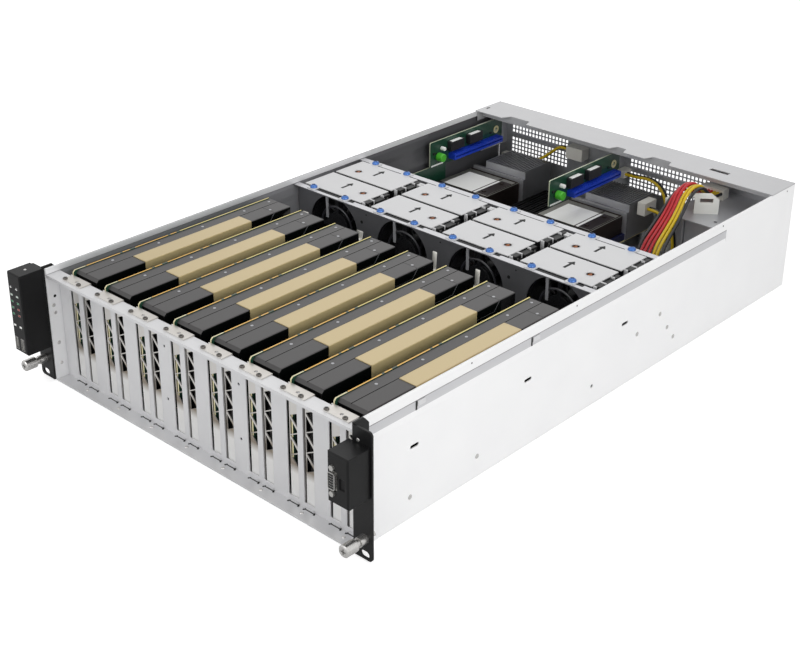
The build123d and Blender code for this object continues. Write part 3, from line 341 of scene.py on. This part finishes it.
# left wall: its inner face painted with the dark reflection of the cards and boards, darker towards the rear
# as painted shade; its hem is painted pale as lit
looks["zincWallLeftPaintedShade"] = dict(looks["zincWall"], facing={
    "axis": (1, 0, 0), "limit": 0.5, "roughness": 0.36, "along": "Y", "span": (-363, 367), "blend": "LINEAR",
    "bands": [(0.0, "E6E6E7"), (0.019, "E6E6E7"), (0.024, "A2A2A5"), (0.5, "8E8E91"), (0.62, "68686B"),
              (1.0, "5C5C5F")]})
looks["zincWallLeftPaintedShade"]["paintedBands"] = looks["zincWall"]["paintedBands"] + [
    {"away": 216.6, "color": "F2F2F3", "worn": "E9E9EA"}]
# boxed coolers: pale plate on top, the stack below painted dark as shade; finned ones: pale front ends
looks["coolerBox"] = dict(looks["finPaintedShade"], facing={
    "axis": (0, 0, 1), "limit": 0.6, "roughness": 0.4, "bands": [(0.0, "8B8A84")]})
looks["coolerFins"] = dict(looks["finAluminium"], facing={
    "axis": (0, -1, 0), "limit": 0.6, "roughness": 0.4, "bands": [(0.0, "C4C4C8")]})
finishes = {name: surface(name, look) for name, look in looks.items()}
print("finishes made:", len(finishes))


nodeFinish = {
    "zincWall": ["side_wall_right"], "zincWallLeftPaintedShade": ["side_wall_left"], "zincFront": ["front_panel"],
    "zincTray": ["base_tray"], "zincCover": ["rear_cover"],
    "zincRear": ["rear_panel", "riser_brackets", "slot_blanks"], "zincShelf": ["supply_cage"],
    "zincCasing": ["supply_lower", "supply_upper"], "fanWallSheet": ["fan_frame"],
    "carrierPlate": ["fan_carriers"], "bracketPaintedReflection": ["card_brackets"], "cardBoard": ["card_boards"],
    "edgedBoard": ["riser_boards"], "greenBoard": ["slot_board", "mainboards"],
    "champagnePaintedLight": ["card_plates"],
    "shroudPlasticPaintedSheen": ["card_shroud_%d" % i for i in range(1, 9)],
    "nylonBlack": ["card_sockets", "memory_sockets"], "nylonBlue": ["riser_slots"],
    "fanPlastic": ["fan_housings"] + ["fan_rotor_%d" % i for i in range(1, 9)],
    "coolerFins": ["rear_coolers"], "coolerBox": ["front_coolers"], "powderBlack": ["ear_left", "ear_right"],
    "boxPlastic": ["control_box_left", "control_box_right"], "keyPlastic": ["power_button", "id_button"],
    "acrylicClear": ["status_lenses"], "portNickel": ["usb_ports", "video_port", "rear_ports"],
    "screwNickel": ["thumbscrew_left", "thumbscrew_right", "thumbscrew_collars"],
    "archWhite": ["cable_bracket"], "nylonWhite": ["cable_plugs"], "vinylRed": ["red_cables"],
    "vinylYellow": ["yellow_cables"], "vinylBlack": ["black_cables"], "bluePlated": ["fan_screws"],
}
for finish, names in nodeFinish.items():
    for name in names:
        nodes[name].data.materials.clear()
        nodes[name].data.materials.append(finishes[finish])
print("nodes finished")


# Shapes. Every place is in millimetres: X across, Y back from the body's front edge, Z up.
def at(x, y, z):
    return Vector((x, y + frontY, z)) * mm


def rounded(mesh, edges, wide):
    bmesh.ops.bevel(mesh, geom=edges, offset=wide * mm, offset_type="OFFSET", segments=2, profile=0.5,
                    affect="EDGES", material=-1)


def edgesOf(made):
    return list(dict.fromkeys(edge for vert in made for edge in vert.link_edges))


def addBlock(mesh, low, high, bevel=0.0):
    low, high = at(*low), at(*high)
    made = bmesh.ops.create_cube(mesh, size=1.0)["verts"]
    bmesh.ops.scale(mesh, vec=high - low, verts=made)
    bmesh.ops.translate(mesh, vec=(low + high) / 2, verts=made)
    if bevel:
        rounded(mesh, edgesOf(made), bevel)


# blocks given by their low and high corners, each from the same place
def addBlocks(mesh, corners, x=0.0, y=0.0, bevel=0.0):
    for low, high in corners:
        addBlock(mesh, (x + low[0], y + low[1], low[2]), (x + high[0], y + high[1], high[2]), bevel)


# a block against a side wall, between two distances from the middle
def addFlank(mesh, hand, across, along, tall, bevel=0.0):
    near, far = sorted(hand * x for x in across)
    addBlock(mesh, (near, along[0], tall[0]), (far, along[1], tall[1]), bevel)


# the two crossed bars of a screw's recess
def addCross(mesh, x, y, size, tall):
    for wide, deep in (size, size[::-1]):
        addBlock(mesh, (x - wide / 2, y - deep / 2, tall[0]), (x + wide / 2, y + deep / 2, tall[1]))


# a round bar or taper; the centre is its middle
def addRound(mesh, centre, radius, tall, axis="Z", top=None, sides=20, bevel=0.0):
    turns = {"Z": Matrix(), "Y": Matrix.Rotation(math.radians(90), 4, "X"),
             "X": Matrix.Rotation(math.radians(90), 4, "Y")}
    made = bmesh.ops.create_cone(mesh, cap_ends=True, segments=sides, radius1=radius * mm,
                                 radius2=(radius if top is None else top) * mm, depth=tall * mm,
                                 matrix=Matrix.Translation(at(*centre)) @ turns[axis])["verts"]
    if bevel:
        rims = [edge for edge in edgesOf(made) if any(len(face.verts) > 4 for face in edge.link_faces)]
        rounded(mesh, rims, bevel)


# a profile of (radius, height) pairs, spun about an axis through the centre
def addTurned(mesh, centre, profile, axis=(0, 0, 1), steps=24):
    centre, axis = at(*centre), Vector(axis)
    across = axis.orthogonal().normalized()
    line = [mesh.verts.new(centre + across * radius * mm + axis * height * mm) for radius, height in profile]
    edges = [mesh.edges.new(pair) for pair in zip(line, line[1:])]
    bmesh.ops.spin(mesh, geom=line + edges, cent=centre, axis=axis, dvec=(0, 0, 0), angle=math.tau,
                   steps=steps, use_merge=True, use_duplicate=False)


def finishPiece(name, mesh, finish, body="chassis", smooth=False, replaces=()):
    bmesh.ops.remove_doubles(mesh, verts=mesh.verts, dist=1e-6)
    bmesh.ops.recalc_face_normals(mesh, faces=mesh.faces)
    data = bpy.data.meshes.new(name)
    mesh.to_mesh(data)
    mesh.free()
    data.materials.append(finishes[finish])
    if smooth:
        data.shade_smooth()
    made = bpy.data.objects.new(name, data)
    bpy.context.scene.collection.objects.link(made)
    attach(made, body)
    if replaces:
        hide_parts(*replaces)
    return made


# Fan screws: domed blue heads with a cross recess, on shanks of their own, in place of the CAD screws
fanScrew = {"across": (-32.5, 18.5), "rows": (352.0, 456.5), "shank": 1.4, "reach": 5.0,
            "dome": [(0, 0), (4.4, 0), (4.4, 0.9), (4.0, 1.9), (3.1, 2.8), (1.8, 3.4), (0, 3.6)],
            "cross": (3.8, 0.9), "crossTall": (plateTop + 2.4, plateTop + 3.72)}
heads, crossShades = bmesh.new(), bmesh.new()
for fan in fanX:
    for y in fanScrew["rows"]:
        for x in [fan + across for across in fanScrew["across"]]:
            addTurned(heads, (x, y, plateTop), fanScrew["dome"])
            addRound(heads, (x, y, plateTop - fanScrew["reach"] / 2), fanScrew["shank"], fanScrew["reach"],
                     sides=12)
            addCross(crossShades, x, y, fanScrew["cross"], fanScrew["crossTall"])
finishPiece("fanScrewHeads", heads, "bluePlated", replaces=["fan_screws"])
# the cross recesses are painted dark as shade
finishPiece("fanScrewCrossShades", crossShades, "bluePlatedCrossShade")

# Tab screws: two small pan heads that hold each bracket's tab to the shelf, their cross recesses painted dark
# as shade
tabScrew = {"places": ((2.6, 7.4), (24.8, 7.4)), "pan": [(0, 0), (2.5, 0), (2.5, 0.8), (2.1, 1.4), (0, 1.6)],
            "cross": (2.6, 0.6), "crossTall": (plateTop + 1.2, plateTop + 1.65)}
pans, crossShades = bmesh.new(), bmesh.new()
for board in boardX:
    for across, y in tabScrew["places"]:
        addTurned(pans, (board + across, y, plateTop), tabScrew["pan"], steps=18)
        addCross(crossShades, board + across, y, tabScrew["cross"], tabScrew["crossTall"])
finishPiece("tabScrews", pans, "darkSteel")
finishPiece("tabScrewCrossShades", crossShades, "darkHole")

# Shroud screws: the small pale heads along each moulding's top
shroudScrew = {"places": [(8.5, 62), (8.5, 122), (8.5, 182), (8.5, 242), (8.5, 279), (27.0, 264)],
               "head": [(0, 0), (1.5, 0), (1.5, 0.3), (1.1, 0.45), (0, 0.3)]}
heads = bmesh.new()
for board in boardX:
    for across, y in shroudScrew["places"]:
        addTurned(heads, (board + across, y, cards["top"]), shroudScrew["head"], steps=14)
finishPiece("shroudScrews", heads, "nylonGrey")

# Shroud tails: the end cap's joint, across the top, then slanted down the gloss side to a level line
capJoint = {"cross": 262.0, "side": 36.3, "seam": 15.5, "wide": 0.45, "proud": 0.16, "skin": (-0.05, 0.12),
            "slantTop": 127.0, "slantSteps": 8, "slantFall": 1.2, "slantSize": (1.1, 1.35),
            "level": 117.4, "levelStart": 228.0}
joints, creases = bmesh.new(), bmesh.new()
for board in boardX:
    side = board + capJoint["side"]
    inner, outer = [side + skin for skin in capJoint["skin"]]
    addBlock(creases, (board + capJoint["seam"], capJoint["cross"], cards["top"]),
             (side, capJoint["cross"] + capJoint["wide"], cards["top"] + capJoint["proud"]))
    for step in range(capJoint["slantSteps"]):
        y = capJoint["cross"] - 1.0 - step
        z = capJoint["slantTop"] - capJoint["slantFall"] * (step + 1)
        addBlock(joints, (inner, y, z), (outer, y + capJoint["slantSize"][0], z + capJoint["slantSize"][1]))
    addBlock(joints, (inner, capJoint["levelStart"], capJoint["level"]),
             (outer, capJoint["cross"] - capJoint["slantSteps"], capJoint["level"] + capJoint["wide"]))
finishPiece("shroudJoints", joints, "jointPlastic")
finishPiece("shroudCreases", creases, "darkHole")

# Pull tabs: white strips bent up behind four card tails, each by its X, width, bottom and top
pullTab = {"places": [(-151.0, 8.0, 117.0, 119.0), (-66.5, 9.0, 113.0, 120.5), (41.6, 5.5, 110.0, 129.0),
                      (99.5, 5.5, 109.0, 127.0)],
           "tail": 286.0, "reach": 14.0, "lean": 1.2, "drop": 4.0, "bend": 0.35, "thick": 0.5}
strips = bmesh.new()
for x, wide, low, high in pullTab["places"]:
    for vert in bmesh.ops.create_grid(strips, x_segments=2, y_segments=12, size=0.5)["verts"]:
        share = vert.co.y + 0.5
        bent = min(share / pullTab["bend"], 1.0)
        rise = max(share - pullTab["bend"], 0.0) / (1 - pullTab["bend"])
        y = pullTab["tail"] + pullTab["reach"] * math.sin(bent * math.pi / 2) + pullTab["lean"] * rise
        z = low - pullTab["drop"] * (1 - bent) ** 2 + (high - low) * rise
        vert.co = at(x + vert.co.x * wide, y, z)
tabs = finishPiece("pullTabs", strips, "nylonWhite", smooth=True)
thickness = tabs.modifiers.new("thickness", "SOLIDIFY")
thickness.thickness = pullTab["thick"] * mm

# Inlet struts: the light bar that leans down across each fan opening, in short steps
inletStrut = {"low": (-16.6, 356.0, 8.0), "high": (-13.4, 357.4, 12.3), "steps": 7,
              "move": (0.25, -0.35, 4.2)}
struts = bmesh.new()
for fan in fanX:
    for step in range(inletStrut["steps"]):
        x, y, z = [step * move for move in inletStrut["move"]]
        low, high = inletStrut["low"], inletStrut["high"]
        addBlock(struts, (fan + low[0] + x, low[1] + y, fans["axis"] + low[2] + z),
                 (fan + high[0] + x, high[1] + y, fans["axis"] + high[2] + z))
finishPiece("inletStruts", struts, "nylonGrey")

# Inlet rings: the dull bell that each strut ends on, a lighter grey than the fan as a painted highlight on
# its rim
inletRing = {"front": 357.4,
             "section": [(23.0, 0), (25.6, 0), (25.6, 0.9), (24.56, 1.5), (23.0, 1.05), (23.0, 0)]}
rings = bmesh.new()
for fan in fanX:
    addTurned(rings, (fan, inletRing["front"], fans["axis"]), inletRing["section"], axis=(0, -1, 0), steps=40)
finishPiece("inletRings", rings, "fanBellHighlight")

# Arrow slots: the cut of each carrier, drawn as bold as it looks from outside with dark plates of painted
# shade
arrow = {"across": -7.0, "half": 1.6, "start": 15.0, "neck": 27.5, "head": 4.4, "steps": 6, "step": 1.1,
         "tall": (plateTop - 0.05, plateTop + 0.04)}
arrowShades = bmesh.new()
for fan in fanX:
    for y in fans["rows"]:
        x = fan + arrow["across"]
        low, high = arrow["tall"]
        addBlock(arrowShades, (x - arrow["half"], y + arrow["start"], low),
                 (x + arrow["half"], y + arrow["neck"], high))
        for step in range(arrow["steps"]):
            half = arrow["head"] * (1 - step / arrow["steps"])
            start = y + arrow["neck"] + step * arrow["step"]
            addBlock(arrowShades, (x - half, start, low), (x + half, start + arrow["step"], high))
finishPiece("carrierArrowShades", arrowShades, "darkHole")

# Latches and plugs at the right of each fan: black blocks, a round boss and bright contacts
fanLatch = {"blocks": [((40.6, 2, 106), (47.5, 12, 122.6)), ((40.6, 15, 108), (49.5, 30, 121.2)),
                       ((40.6, 32, 104), (46.0, 41, 122.0))],
            "bossPlace": (48.5, 7, 116), "boss": {"radius": 3.2, "tall": 3.0, "bevel": 0.4},
            "contacts": [((47.6, 4, 117.5), (48.2, 6.2, 120.5)), ((49.4, 17, 115.5), (50.0, 18.6, 119.2)),
                         ((49.4, 24, 114), (50.0, 25.4, 118.6)), ((46.0, 35, 116), (46.5, 37.5, 119.4))]}
latches, contacts = bmesh.new(), bmesh.new()
for fan in fanX:
    for y in fans["rows"]:
        x, along, z = fanLatch["bossPlace"]
        addBlocks(latches, fanLatch["blocks"], fan, y, bevel=0.6)
        addRound(latches, (fan + x, y + along, z), axis="X", **fanLatch["boss"])
        addBlocks(contacts, fanLatch["contacts"], fan, y)
finishPiece("fanLatches", latches, "nylonBlack")
finishPiece("fanContacts", contacts, "screwNickel")

# Carrier ears: the pale folded strips between the latches, and the wedge ahead of the rear flange
carrierEar = {"strips": [((40.1, 12.6, 108), (47.0, 14.4, 122.95)), ((40.1, 30.4, 110), (45.0, 31.7, 122.95)),
                         ((40.1, 0.2, 112), (44.5, 1.6, 122.95))],
              "wedges": [((42.0, 447.5, 116.0), (55.0, 450.6, 121.5)),
                         ((44.5, 443.5, 116.0), (52.5, 447.5, 121.0))]}
ears = bmesh.new()
for fan in fanX:
    for y in fans["rows"]:
        addBlocks(ears, carrierEar["strips"], fan, y, bevel=0.3)
for fan in fanX[:-1]:
    addBlocks(ears, carrierEar["wedges"], fan, bevel=0.5)
finishPiece("carrierEars", ears, "carrierPlate")

# Carrier slots: a dark strip of painted shade in the gap ahead of each front carrier, between and beside its
# screw tabs
carrierSlotShade = [((-26.2, 349.4, 121.95), (12.2, 353.3, 122.05)),
               ((24.8, 349.4, 121.95), (33.0, 353.3, 122.05))]
gapShades = bmesh.new()
for fan in fanX:
    addBlocks(gapShades, carrierSlotShade, fan)
finishPiece("carrierSlotShades", gapShades, "darkHole")

# Finger holes: a bright pressed rim with a copper tab folded up in it
fingerHole = {"places": ((22, 378), (-30, 424)), "level": 122.0,
              "rim": [(4.45, 0.0), (5.1, 1.02), (5.6, 1.15), (4.9, 1.35), (4.3, 0.9), (4.45, 0.0)],
              "tongueBack": 0.6, "tongueLevel": 122.2,
              "tongue": {"radius": 3.7, "top": 2.2, "tall": 1.2, "sides": 3}}
rims, tongues = bmesh.new(), bmesh.new()
for fan in fanX:
    for across, y in fingerHole["places"]:
        addTurned(rims, (fan + across, y, fingerHole["level"]), fingerHole["rim"], steps=28)
        addRound(tongues, (fan + across, y + fingerHole["tongueBack"], fingerHole["tongueLevel"]),
                 **fingerHole["tongue"])
finishPiece("fingerRims", rims, "carrierPlate")
finishPiece("fingerTongues", tongues, "copperTab")

# Boxed coolers: a bare white label, bent spring wires, an end plate and its two pins; the wires, plate and
# pins share the fins' painted shade
boxedCooler = {"labels": (-192.0, -31.5), "label": [((0, 586, 61.5), (51.5, 637, 61.8))],
               "frames": (-200.0, -40.0),
               "wires": [((1, 582.7, 61.0), (79, 584.1, 62.6)), ((1, 647.9, 61.0), (79, 649.3, 62.6)),
                         ((55.0, 583, 61.0), (56.2, 649, 62.3)), ((77.5, 583, 61.0), (78.7, 649, 62.3))],
               "plate": [((60, 588, 60.5), (76, 640, 61.9))],
               "pins": ((66, 596, 62.0), (66, 632, 62.0)), "pin": {"radius": 3.0, "tall": 2.4, "bevel": 0.4}}
labels, frames = bmesh.new(), bmesh.new()
for x in boxedCooler["labels"]:
    addBlocks(labels, boxedCooler["label"], x)
for x in boxedCooler["frames"]:
    addBlocks(frames, boxedCooler["wires"], x, bevel=0.3)
    addBlocks(frames, boxedCooler["plate"], x, bevel=0.4)
    for across, y, z in boxedCooler["pins"]:
        addRound(frames, (x + across, y, z), **boxedCooler["pin"])
finishPiece("coolerLabels", labels, "paperLabel")
finishPiece("coolerFrames", frames, "finPaintedShade")

# Riser boards: parts along the top, a green capacitor, a bare strip and the ring of the screw hole
riser = {"faces": (-203.4, -13.4), "chips": (604, 641),
         "canPlace": (5.2, 586, 94), "can": {"radius": 5.6, "tall": 10, "bevel": 1.2},
         "knobPlace": (3.6, 592, 104), "knob": {"radius": 2.6, "tall": 7, "bevel": 0.8},
         "chip": [((0, 0, 97.5), (7.5, 26, 110))], "chipLabel": [((1.2, 3, 110), (6.9, 22, 110.3))],
         "ring": [(2.4, 0), (5.2, 0), (5.2, 0.5), (2.4, 0.5), (2.4, 0)], "ringPlace": (0.2, 703, 101),
         "strip": [((0, 573, 82.2), (0.3, 596, 84.2))],
         "small": (576, 580, 600, 633, 671, 680, 690), "smallSize": (1.2, 3.5), "smallTall": (98, 100)}
blocks, tops, cans, rings, strips = [bmesh.new() for _ in range(5)]
for face in riser["faces"]:
    x, y, z = riser["canPlace"]
    addRound(cans, (face + x, y, z), axis="X", **riser["can"])
    x, y, z = riser["knobPlace"]
    addRound(tops, (face + x, y, z), axis="X", **riser["knob"])
    for y in riser["chips"]:
        addBlocks(blocks, riser["chip"], face, y, bevel=0.5)
        addBlocks(tops, riser["chipLabel"], face, y)
    x, y, z = riser["ringPlace"]
    addTurned(rings, (face + x, y, z), riser["ring"], axis=(1, 0, 0))
    addBlocks(strips, riser["strip"], face)
    (wide, deep), (low, high) = riser["smallSize"], riser["smallTall"]
    for y in riser["small"]:  # small parts of uneven heights
        addBlock(blocks, (face, y, low + y % 3), (face + wide, y + deep, high + y % 5))
finishPiece("riserParts", blocks, "chipEpoxy")
finishPiece("riserLabels", tops, "paperLabel")
finishPiece("riserCapacitors", cans, "sleeveGreen")
finishPiece("riserRings", rings, "creamEdge")
finishPiece("riserStrips", strips, "paperLabel")

# Riser slots: ribs along each blue moulding
riserRib = {"count": 22, "start": 609, "pitch": 4.3, "rib": [((2, 0, 93.3), (9.4, 1.4, 94.2))]}
ribs = bmesh.new()
for face in riser["faces"]:
    for step in range(riserRib["count"]):
        addBlocks(ribs, riserRib["rib"], face, riserRib["start"] + step * riserRib["pitch"], bevel=0.2)
finishPiece("riserRibs", ribs, "nylonBlue")

# Board parts: chips, cans and headers spread over the boards' free places, always the same ones
boardParts = {"seed": 7, "tries": 260, "share": 60, "apart": 1, "chipTall": 1.1, "canTall": 8.0,
              "can": {"radius": 3.2, "sides": 14, "bevel": 0.5},
              "sizes": [(9, 9, 1.4), (6, 4, 1.2), (3, 1.8, 1.0), (2, 1.2, 0.8), (7, 7, 8.0)],
              "areas": [(-150, -126, 474, 566, mainboardTop), (-70, 40, 474, 566, mainboardTop),
                        (-112, 212, 34, 62, slotBoardTop), (-200, 214, 180, 284, slotBoardTop),
                        (-198, -126, 572, 578, mainboardTop)]}
random.seed(boardParts["seed"])
chips, cans, passives = bmesh.new(), bmesh.new(), bmesh.new()
gap = boardParts["apart"]
for x0, x1, y0, y1, z in boardParts["areas"]:
    area = (x1 - x0) * (y1 - y0)
    taken = []
    for _ in range(int(min(boardParts["tries"], area / boardParts["share"]))):
        wide, deep, tall = random.choice(boardParts["sizes"])
        x, y = random.uniform(x0, x1 - wide), random.uniform(y0, y1 - deep)
        if any(x < a + c + gap and a < x + wide + gap and y < b + d + gap and b < y + deep + gap
               for a, b, c, d in taken):
            continue
        taken.append((x, y, wide, deep))
        if tall == boardParts["canTall"]:
            addRound(cans, (x + wide / 2, y + deep / 2, z + tall / 2), tall=tall, **boardParts["can"])
        else:
            mesh = chips if tall > boardParts["chipTall"] else passives
            addBlock(mesh, (x, y, z), (x + wide, y + deep, z + tall))
finishPiece("boardChips", chips, "chipEpoxy")
finishPiece("boardCans", cans, "canAluminium")
finishPiece("boardPassives", passives, "creamEdge")

# Edge socket beside the right mainboard, and the bright cut edges of both mainboards
boardSide = {"socket": [((38.5, 596, 30.1), (44.0, 672, 38.5))],
             "edges": [((43.6, 470.5, 28.6), (44.1, 714.5, 30.2)),
                       ((-124.6, 470.5, 28.6), (-123.9, 714.5, 30.2))]}
sockets, edges = bmesh.new(), bmesh.new()
addBlocks(sockets, boardSide["socket"], bevel=0.5)
addBlocks(edges, boardSide["edges"])
finishPiece("edgeSocket", sockets, "nylonNavy")
finishPiece("boardEdgeLines", edges, "creamEdge")

# Rivets and pits of the sheets, by Y and Z on the walls, X and Z on the fan wall and X on the sill; the pits
# are dark discs of painted shade for holes and dimples
sheetMarks = {"wall": [(69.5, 22.5), (161.5, 22.3), (490, 22), (459.5, 59.9), (476, 38.3), (418, 52)],
              "wallX": 218.9, "rivet": [(0, 0), (2.6, 0), (2.4, 0.35), (1.2, 0.6), (0, 0.65)],
              "hem": [(13, 126), (150, 125), (307, 125), (573, 125), (712, 125)],
              "hemX": 218.95, "hemPit": {"radius": 0.9, "tall": 0.25, "sides": 12},
              "returns": [(6.0, 85.6, 1.7), (7.0, 77.0, 1.7), (7.5, 42.0, 1.7), (8.0, 18.0, 1.3)],
              "returnX": 217.75, "returnHole": (217.7, 8.3, 95.5), "returnPit": {"radius": 1.6, "tall": 0.3},
              "fanWall": [(-113.0, 101.5, 1.9), (100.0, 101.5, 1.9), (-106.0, 112.0, 0.9), (5.0, 112.0, 0.9),
                          (109.0, 112.0, 0.9)],
              "fanWallY": 351.9, "fanWallDeep": 0.3,
              "sill": (-175.5, -122.5, -69.5, -15.5, 37.5, 90.5, 144.5, 197.5), "sillY": 8.0, "sillZ": 1.15,
              "sillRivet": [(0, 0), (1.9, 0), (1.6, 0.5), (0, 0.7)]}
rivets, pitShades = bmesh.new(), bmesh.new()
for hand in (1, -1):
    for y, z in sheetMarks["wall"]:
        addTurned(rivets, (hand * sheetMarks["wallX"], y, z), sheetMarks["rivet"], axis=(hand, 0, 0),
                  steps=20)
    for y, z in sheetMarks["hem"]:
        addRound(pitShades, (hand * sheetMarks["hemX"], y, z), axis="X", **sheetMarks["hemPit"])
    for y, z, radius in sheetMarks["returns"]:
        dome = [(0, 0), (radius + 0.5, 0), (radius, 0.5), (0, 0.8)]
        addTurned(rivets, (hand * sheetMarks["returnX"], y, z), dome, axis=(-hand, 0, 0), steps=18)
    x, y, z = sheetMarks["returnHole"]
    addRound(pitShades, (hand * x, y, z), axis="X", **sheetMarks["returnPit"])
for x, z, radius in sheetMarks["fanWall"]:
    addRound(pitShades, (x, sheetMarks["fanWallY"], z), radius, sheetMarks["fanWallDeep"], axis="Y",
             sides=20 if radius > 1 else 12)
for x in sheetMarks["sill"]:
    addTurned(rivets, (x, sheetMarks["sillY"], sheetMarks["sillZ"]), sheetMarks["sillRivet"], steps=16)
finishPiece("sheetRivets", rivets, "screwNickel")
finishPiece("sheetPitShades", pitShades, "darkHole")

# Lid hooks: a bright tab pressed out of the stepped-in band, with the gap ahead of it painted dark as shade
lidHook = {"places": (81.0, 242.0), "gap": (-4.4, -2.4), "gapAcross": (218.0, 218.35),
           "gapTall": (107.5, 116.4), "tab": (-2.2, 8.0), "tabAcross": (218.0, 219.2),
           "tabTall": (111.0, 116.4)}
tabs, gapShades = bmesh.new(), bmesh.new()
for hand in (-1, 1):
    for y in lidHook["places"]:
        addFlank(gapShades, hand, lidHook["gapAcross"], [y + end for end in lidHook["gap"]], lidHook["gapTall"])
        addFlank(tabs, hand, lidHook["tabAcross"], [y + end for end in lidHook["tab"]], lidHook["tabTall"],
                 bevel=0.45)
finishPiece("lidHooks", tabs, "zincFront")
finishPiece("lidHookGapShades", gapShades, "darkHole")

# Band lips: the shadow that the lip throws on each wall's stepped-in band
bandLip = {"across": (218.05, 218.8), "along": (17.5, 581.5), "tall": (117.0, 117.7)}
lips = bmesh.new()
for hand in (-1, 1):
    addFlank(lips, hand, bandLip["across"], bandLip["along"], bandLip["tall"])
finishPiece("bandLips", lips, "zincInShade")

# Tongue slots: a slot in the sill under each bracket's foot, painted dark as shade, with round ends and a
# bright lip
tongueSlot = {"half": 6.6, "offset": 4.3, "pitch": 20.32, "along": (13.6, 15.4), "tall": (0.3, 1.3),
              "endPlace": (13.2, 1.25), "end": {"radius": 1.1, "tall": 0.12, "sides": 14},
              "lipHalf": 5.1, "lipAlong": (14.6, 15.4), "lipTall": (1.2, 3.4)}
slotShades, lips = bmesh.new(), bmesh.new()
for board in boardX:
    for step in range(2):
        x = board + tongueSlot["offset"] + tongueSlot["pitch"] * step
        (near, far), (low, high) = tongueSlot["along"], tongueSlot["tall"]
        addBlock(slotShades, (x - tongueSlot["half"], near, low), (x + tongueSlot["half"], far, high))
        for side in (-1, 1):
            addRound(slotShades, (x + side * tongueSlot["half"], *tongueSlot["endPlace"]), **tongueSlot["end"])
        (near, far), (low, high) = tongueSlot["lipAlong"], tongueSlot["lipTall"]
        addBlock(lips, (x - tongueSlot["lipHalf"], near, low), (x + tongueSlot["lipHalf"], far, high),
                 bevel=0.25)
finishPiece("tongueSlotShades", slotShades, "darkHole")
finishPiece("tongueLips", lips, "zincFront")

# Control boxes: bright marks above and below the lamps, coloured lamps, and one small screw on each
controlBox = {"front": -30.0, "skin": (-0.02, 0.1), "columns": (-236.6, -226.6),
              "marks": [(1.7, 112.2, 113.0), (0.4, 113.0, 114.2), (1.8, 68.9, 71.0)],
              "greens": ((-236.6, 97), (-236.6, 90), (-236.6, 83), (-226.6, 97)),
              "reds": ((-226.6, 90), (-226.6, 83)), "lampHalf": (1.9, 0.9),
              "topScrew": (-230.3, -15, 128.95), "topHead": [(0, 0), (1.6, 0), (1.3, 0.35), (0, 0.5)],
              "frontScrew": (225.4, -2.0, 116.4), "frontHead": [(0, 0), (1.9, 0), (1.5, 0.5), (0, 0.7)]}


# a flat mark in the boxes' front, by its middle, half width and heights
def addMark(mesh, x, half, low, high, bevel=0.0):
    outer, inner = [controlBox["front"] + skin for skin in controlBox["skin"]]
    addBlock(mesh, (x - half, outer, low), (x + half, inner, high), bevel)


marks, greens, reds, screws = [bmesh.new() for _ in range(4)]
for x in controlBox["columns"]:
    for half, low, high in controlBox["marks"]:
        addMark(marks, x, half, low, high)
for mesh, places in ((greens, controlBox["greens"]), (reds, controlBox["reds"])):
    for x, z in places:
        half, tall = controlBox["lampHalf"]
        addMark(mesh, x, half, z - tall, z + tall, bevel=0.04)
addTurned(screws, controlBox["topScrew"], controlBox["topHead"], steps=16)
addTurned(screws, controlBox["frontScrew"], controlBox["frontHead"], axis=(0, -1, 0), steps=16)
finishPiece("boxMarks", marks, "paperLabel")
finishPiece("lampsGreen", greens, "acrylicGreen")
finishPiece("lampsRed", reds, "acrylicRed")
finishPiece("boxScrews", screws, "screwNickel")

# Video port: a black face inside the bright rim, with its pin holes
video = {"x": 221.5, "z": 88.0, "front": -30.0, "skin": (-0.02, 0.3), "half": (3.2, 7.3),
         "rows": (-1.7, 0.0, 1.7), "columns": range(-2, 3), "pitch": 2.5,
         "pin": {"radius": 0.42, "tall": 0.06, "sides": 10}}
faces, pins = bmesh.new(), bmesh.new()
across, tall = video["half"]
outer, inner = [video["front"] + skin for skin in video["skin"]]
addBlock(faces, (video["x"] - across, outer, video["z"] - tall),
         (video["x"] + across, inner, video["z"] + tall), bevel=0.05)
for row in video["rows"]:
    for column in video["columns"]:
        place = (video["x"] + row, video["front"], video["z"] + column * video["pitch"])
        addRound(pins, place, axis="Y", **video["pin"])
finishPiece("videoFace", faces, "nylonBlack")
finishPiece("videoPins", pins, "portNickel")

# In-line plug on the left wires, beside the arch
inlinePlug = [((105.5, 636, 99), (114.4, 656, 108))]
plug = bmesh.new()
addBlocks(plug, inlinePlug, bevel=0.8)
finishPiece("inlinePlug", plug, "nylonWhite")
print("pieces made")

# Floor: pale, keeps the part's shadow, white to the lens
floorLook = {"half": 8.0, "drop": 0.0005, "base": 0.85, "roughness": 0.9, "glow": 0.54}
floor = bmesh.new()
bmesh.ops.create_grid(floor, x_segments=1, y_segments=1, size=floorLook["half"])
bmesh.ops.translate(floor, vec=(0, 0, -floorLook["drop"]), verts=floor.verts)
floorData = bpy.data.meshes.new("floor")
floor.to_mesh(floorData)
floor.free()
floorPaint = bpy.data.materials.new("floorPaint")
floorPaint.use_nodes = True
tree = floorPaint.node_tree
tree.nodes.clear()
rays = addNode(tree, "ShaderNodeLightPath")
glow = addNode(tree, "ShaderNodeMath", {"operation": "MULTIPLY", 1: floorLook["glow"]},
               {0: rays.outputs["Is Camera Ray"]})
coat = addNode(tree, "ShaderNodeBsdfPrincipled", {"Base Color": (*[floorLook["base"]] * 3, 1),
                                                  "Roughness": floorLook["roughness"],
                                                  "Emission Color": (1, 1, 1, 1)},
               {"Emission Strength": glow.outputs[0]})
addNode(tree, "ShaderNodeOutputMaterial", links={"Surface": coat.outputs[0]})
floorData.materials.append(floorPaint)
floorPiece = bpy.data.objects.new("floor", floorData)
bpy.context.scene.collection.objects.link(floorPiece)
print("floor made")
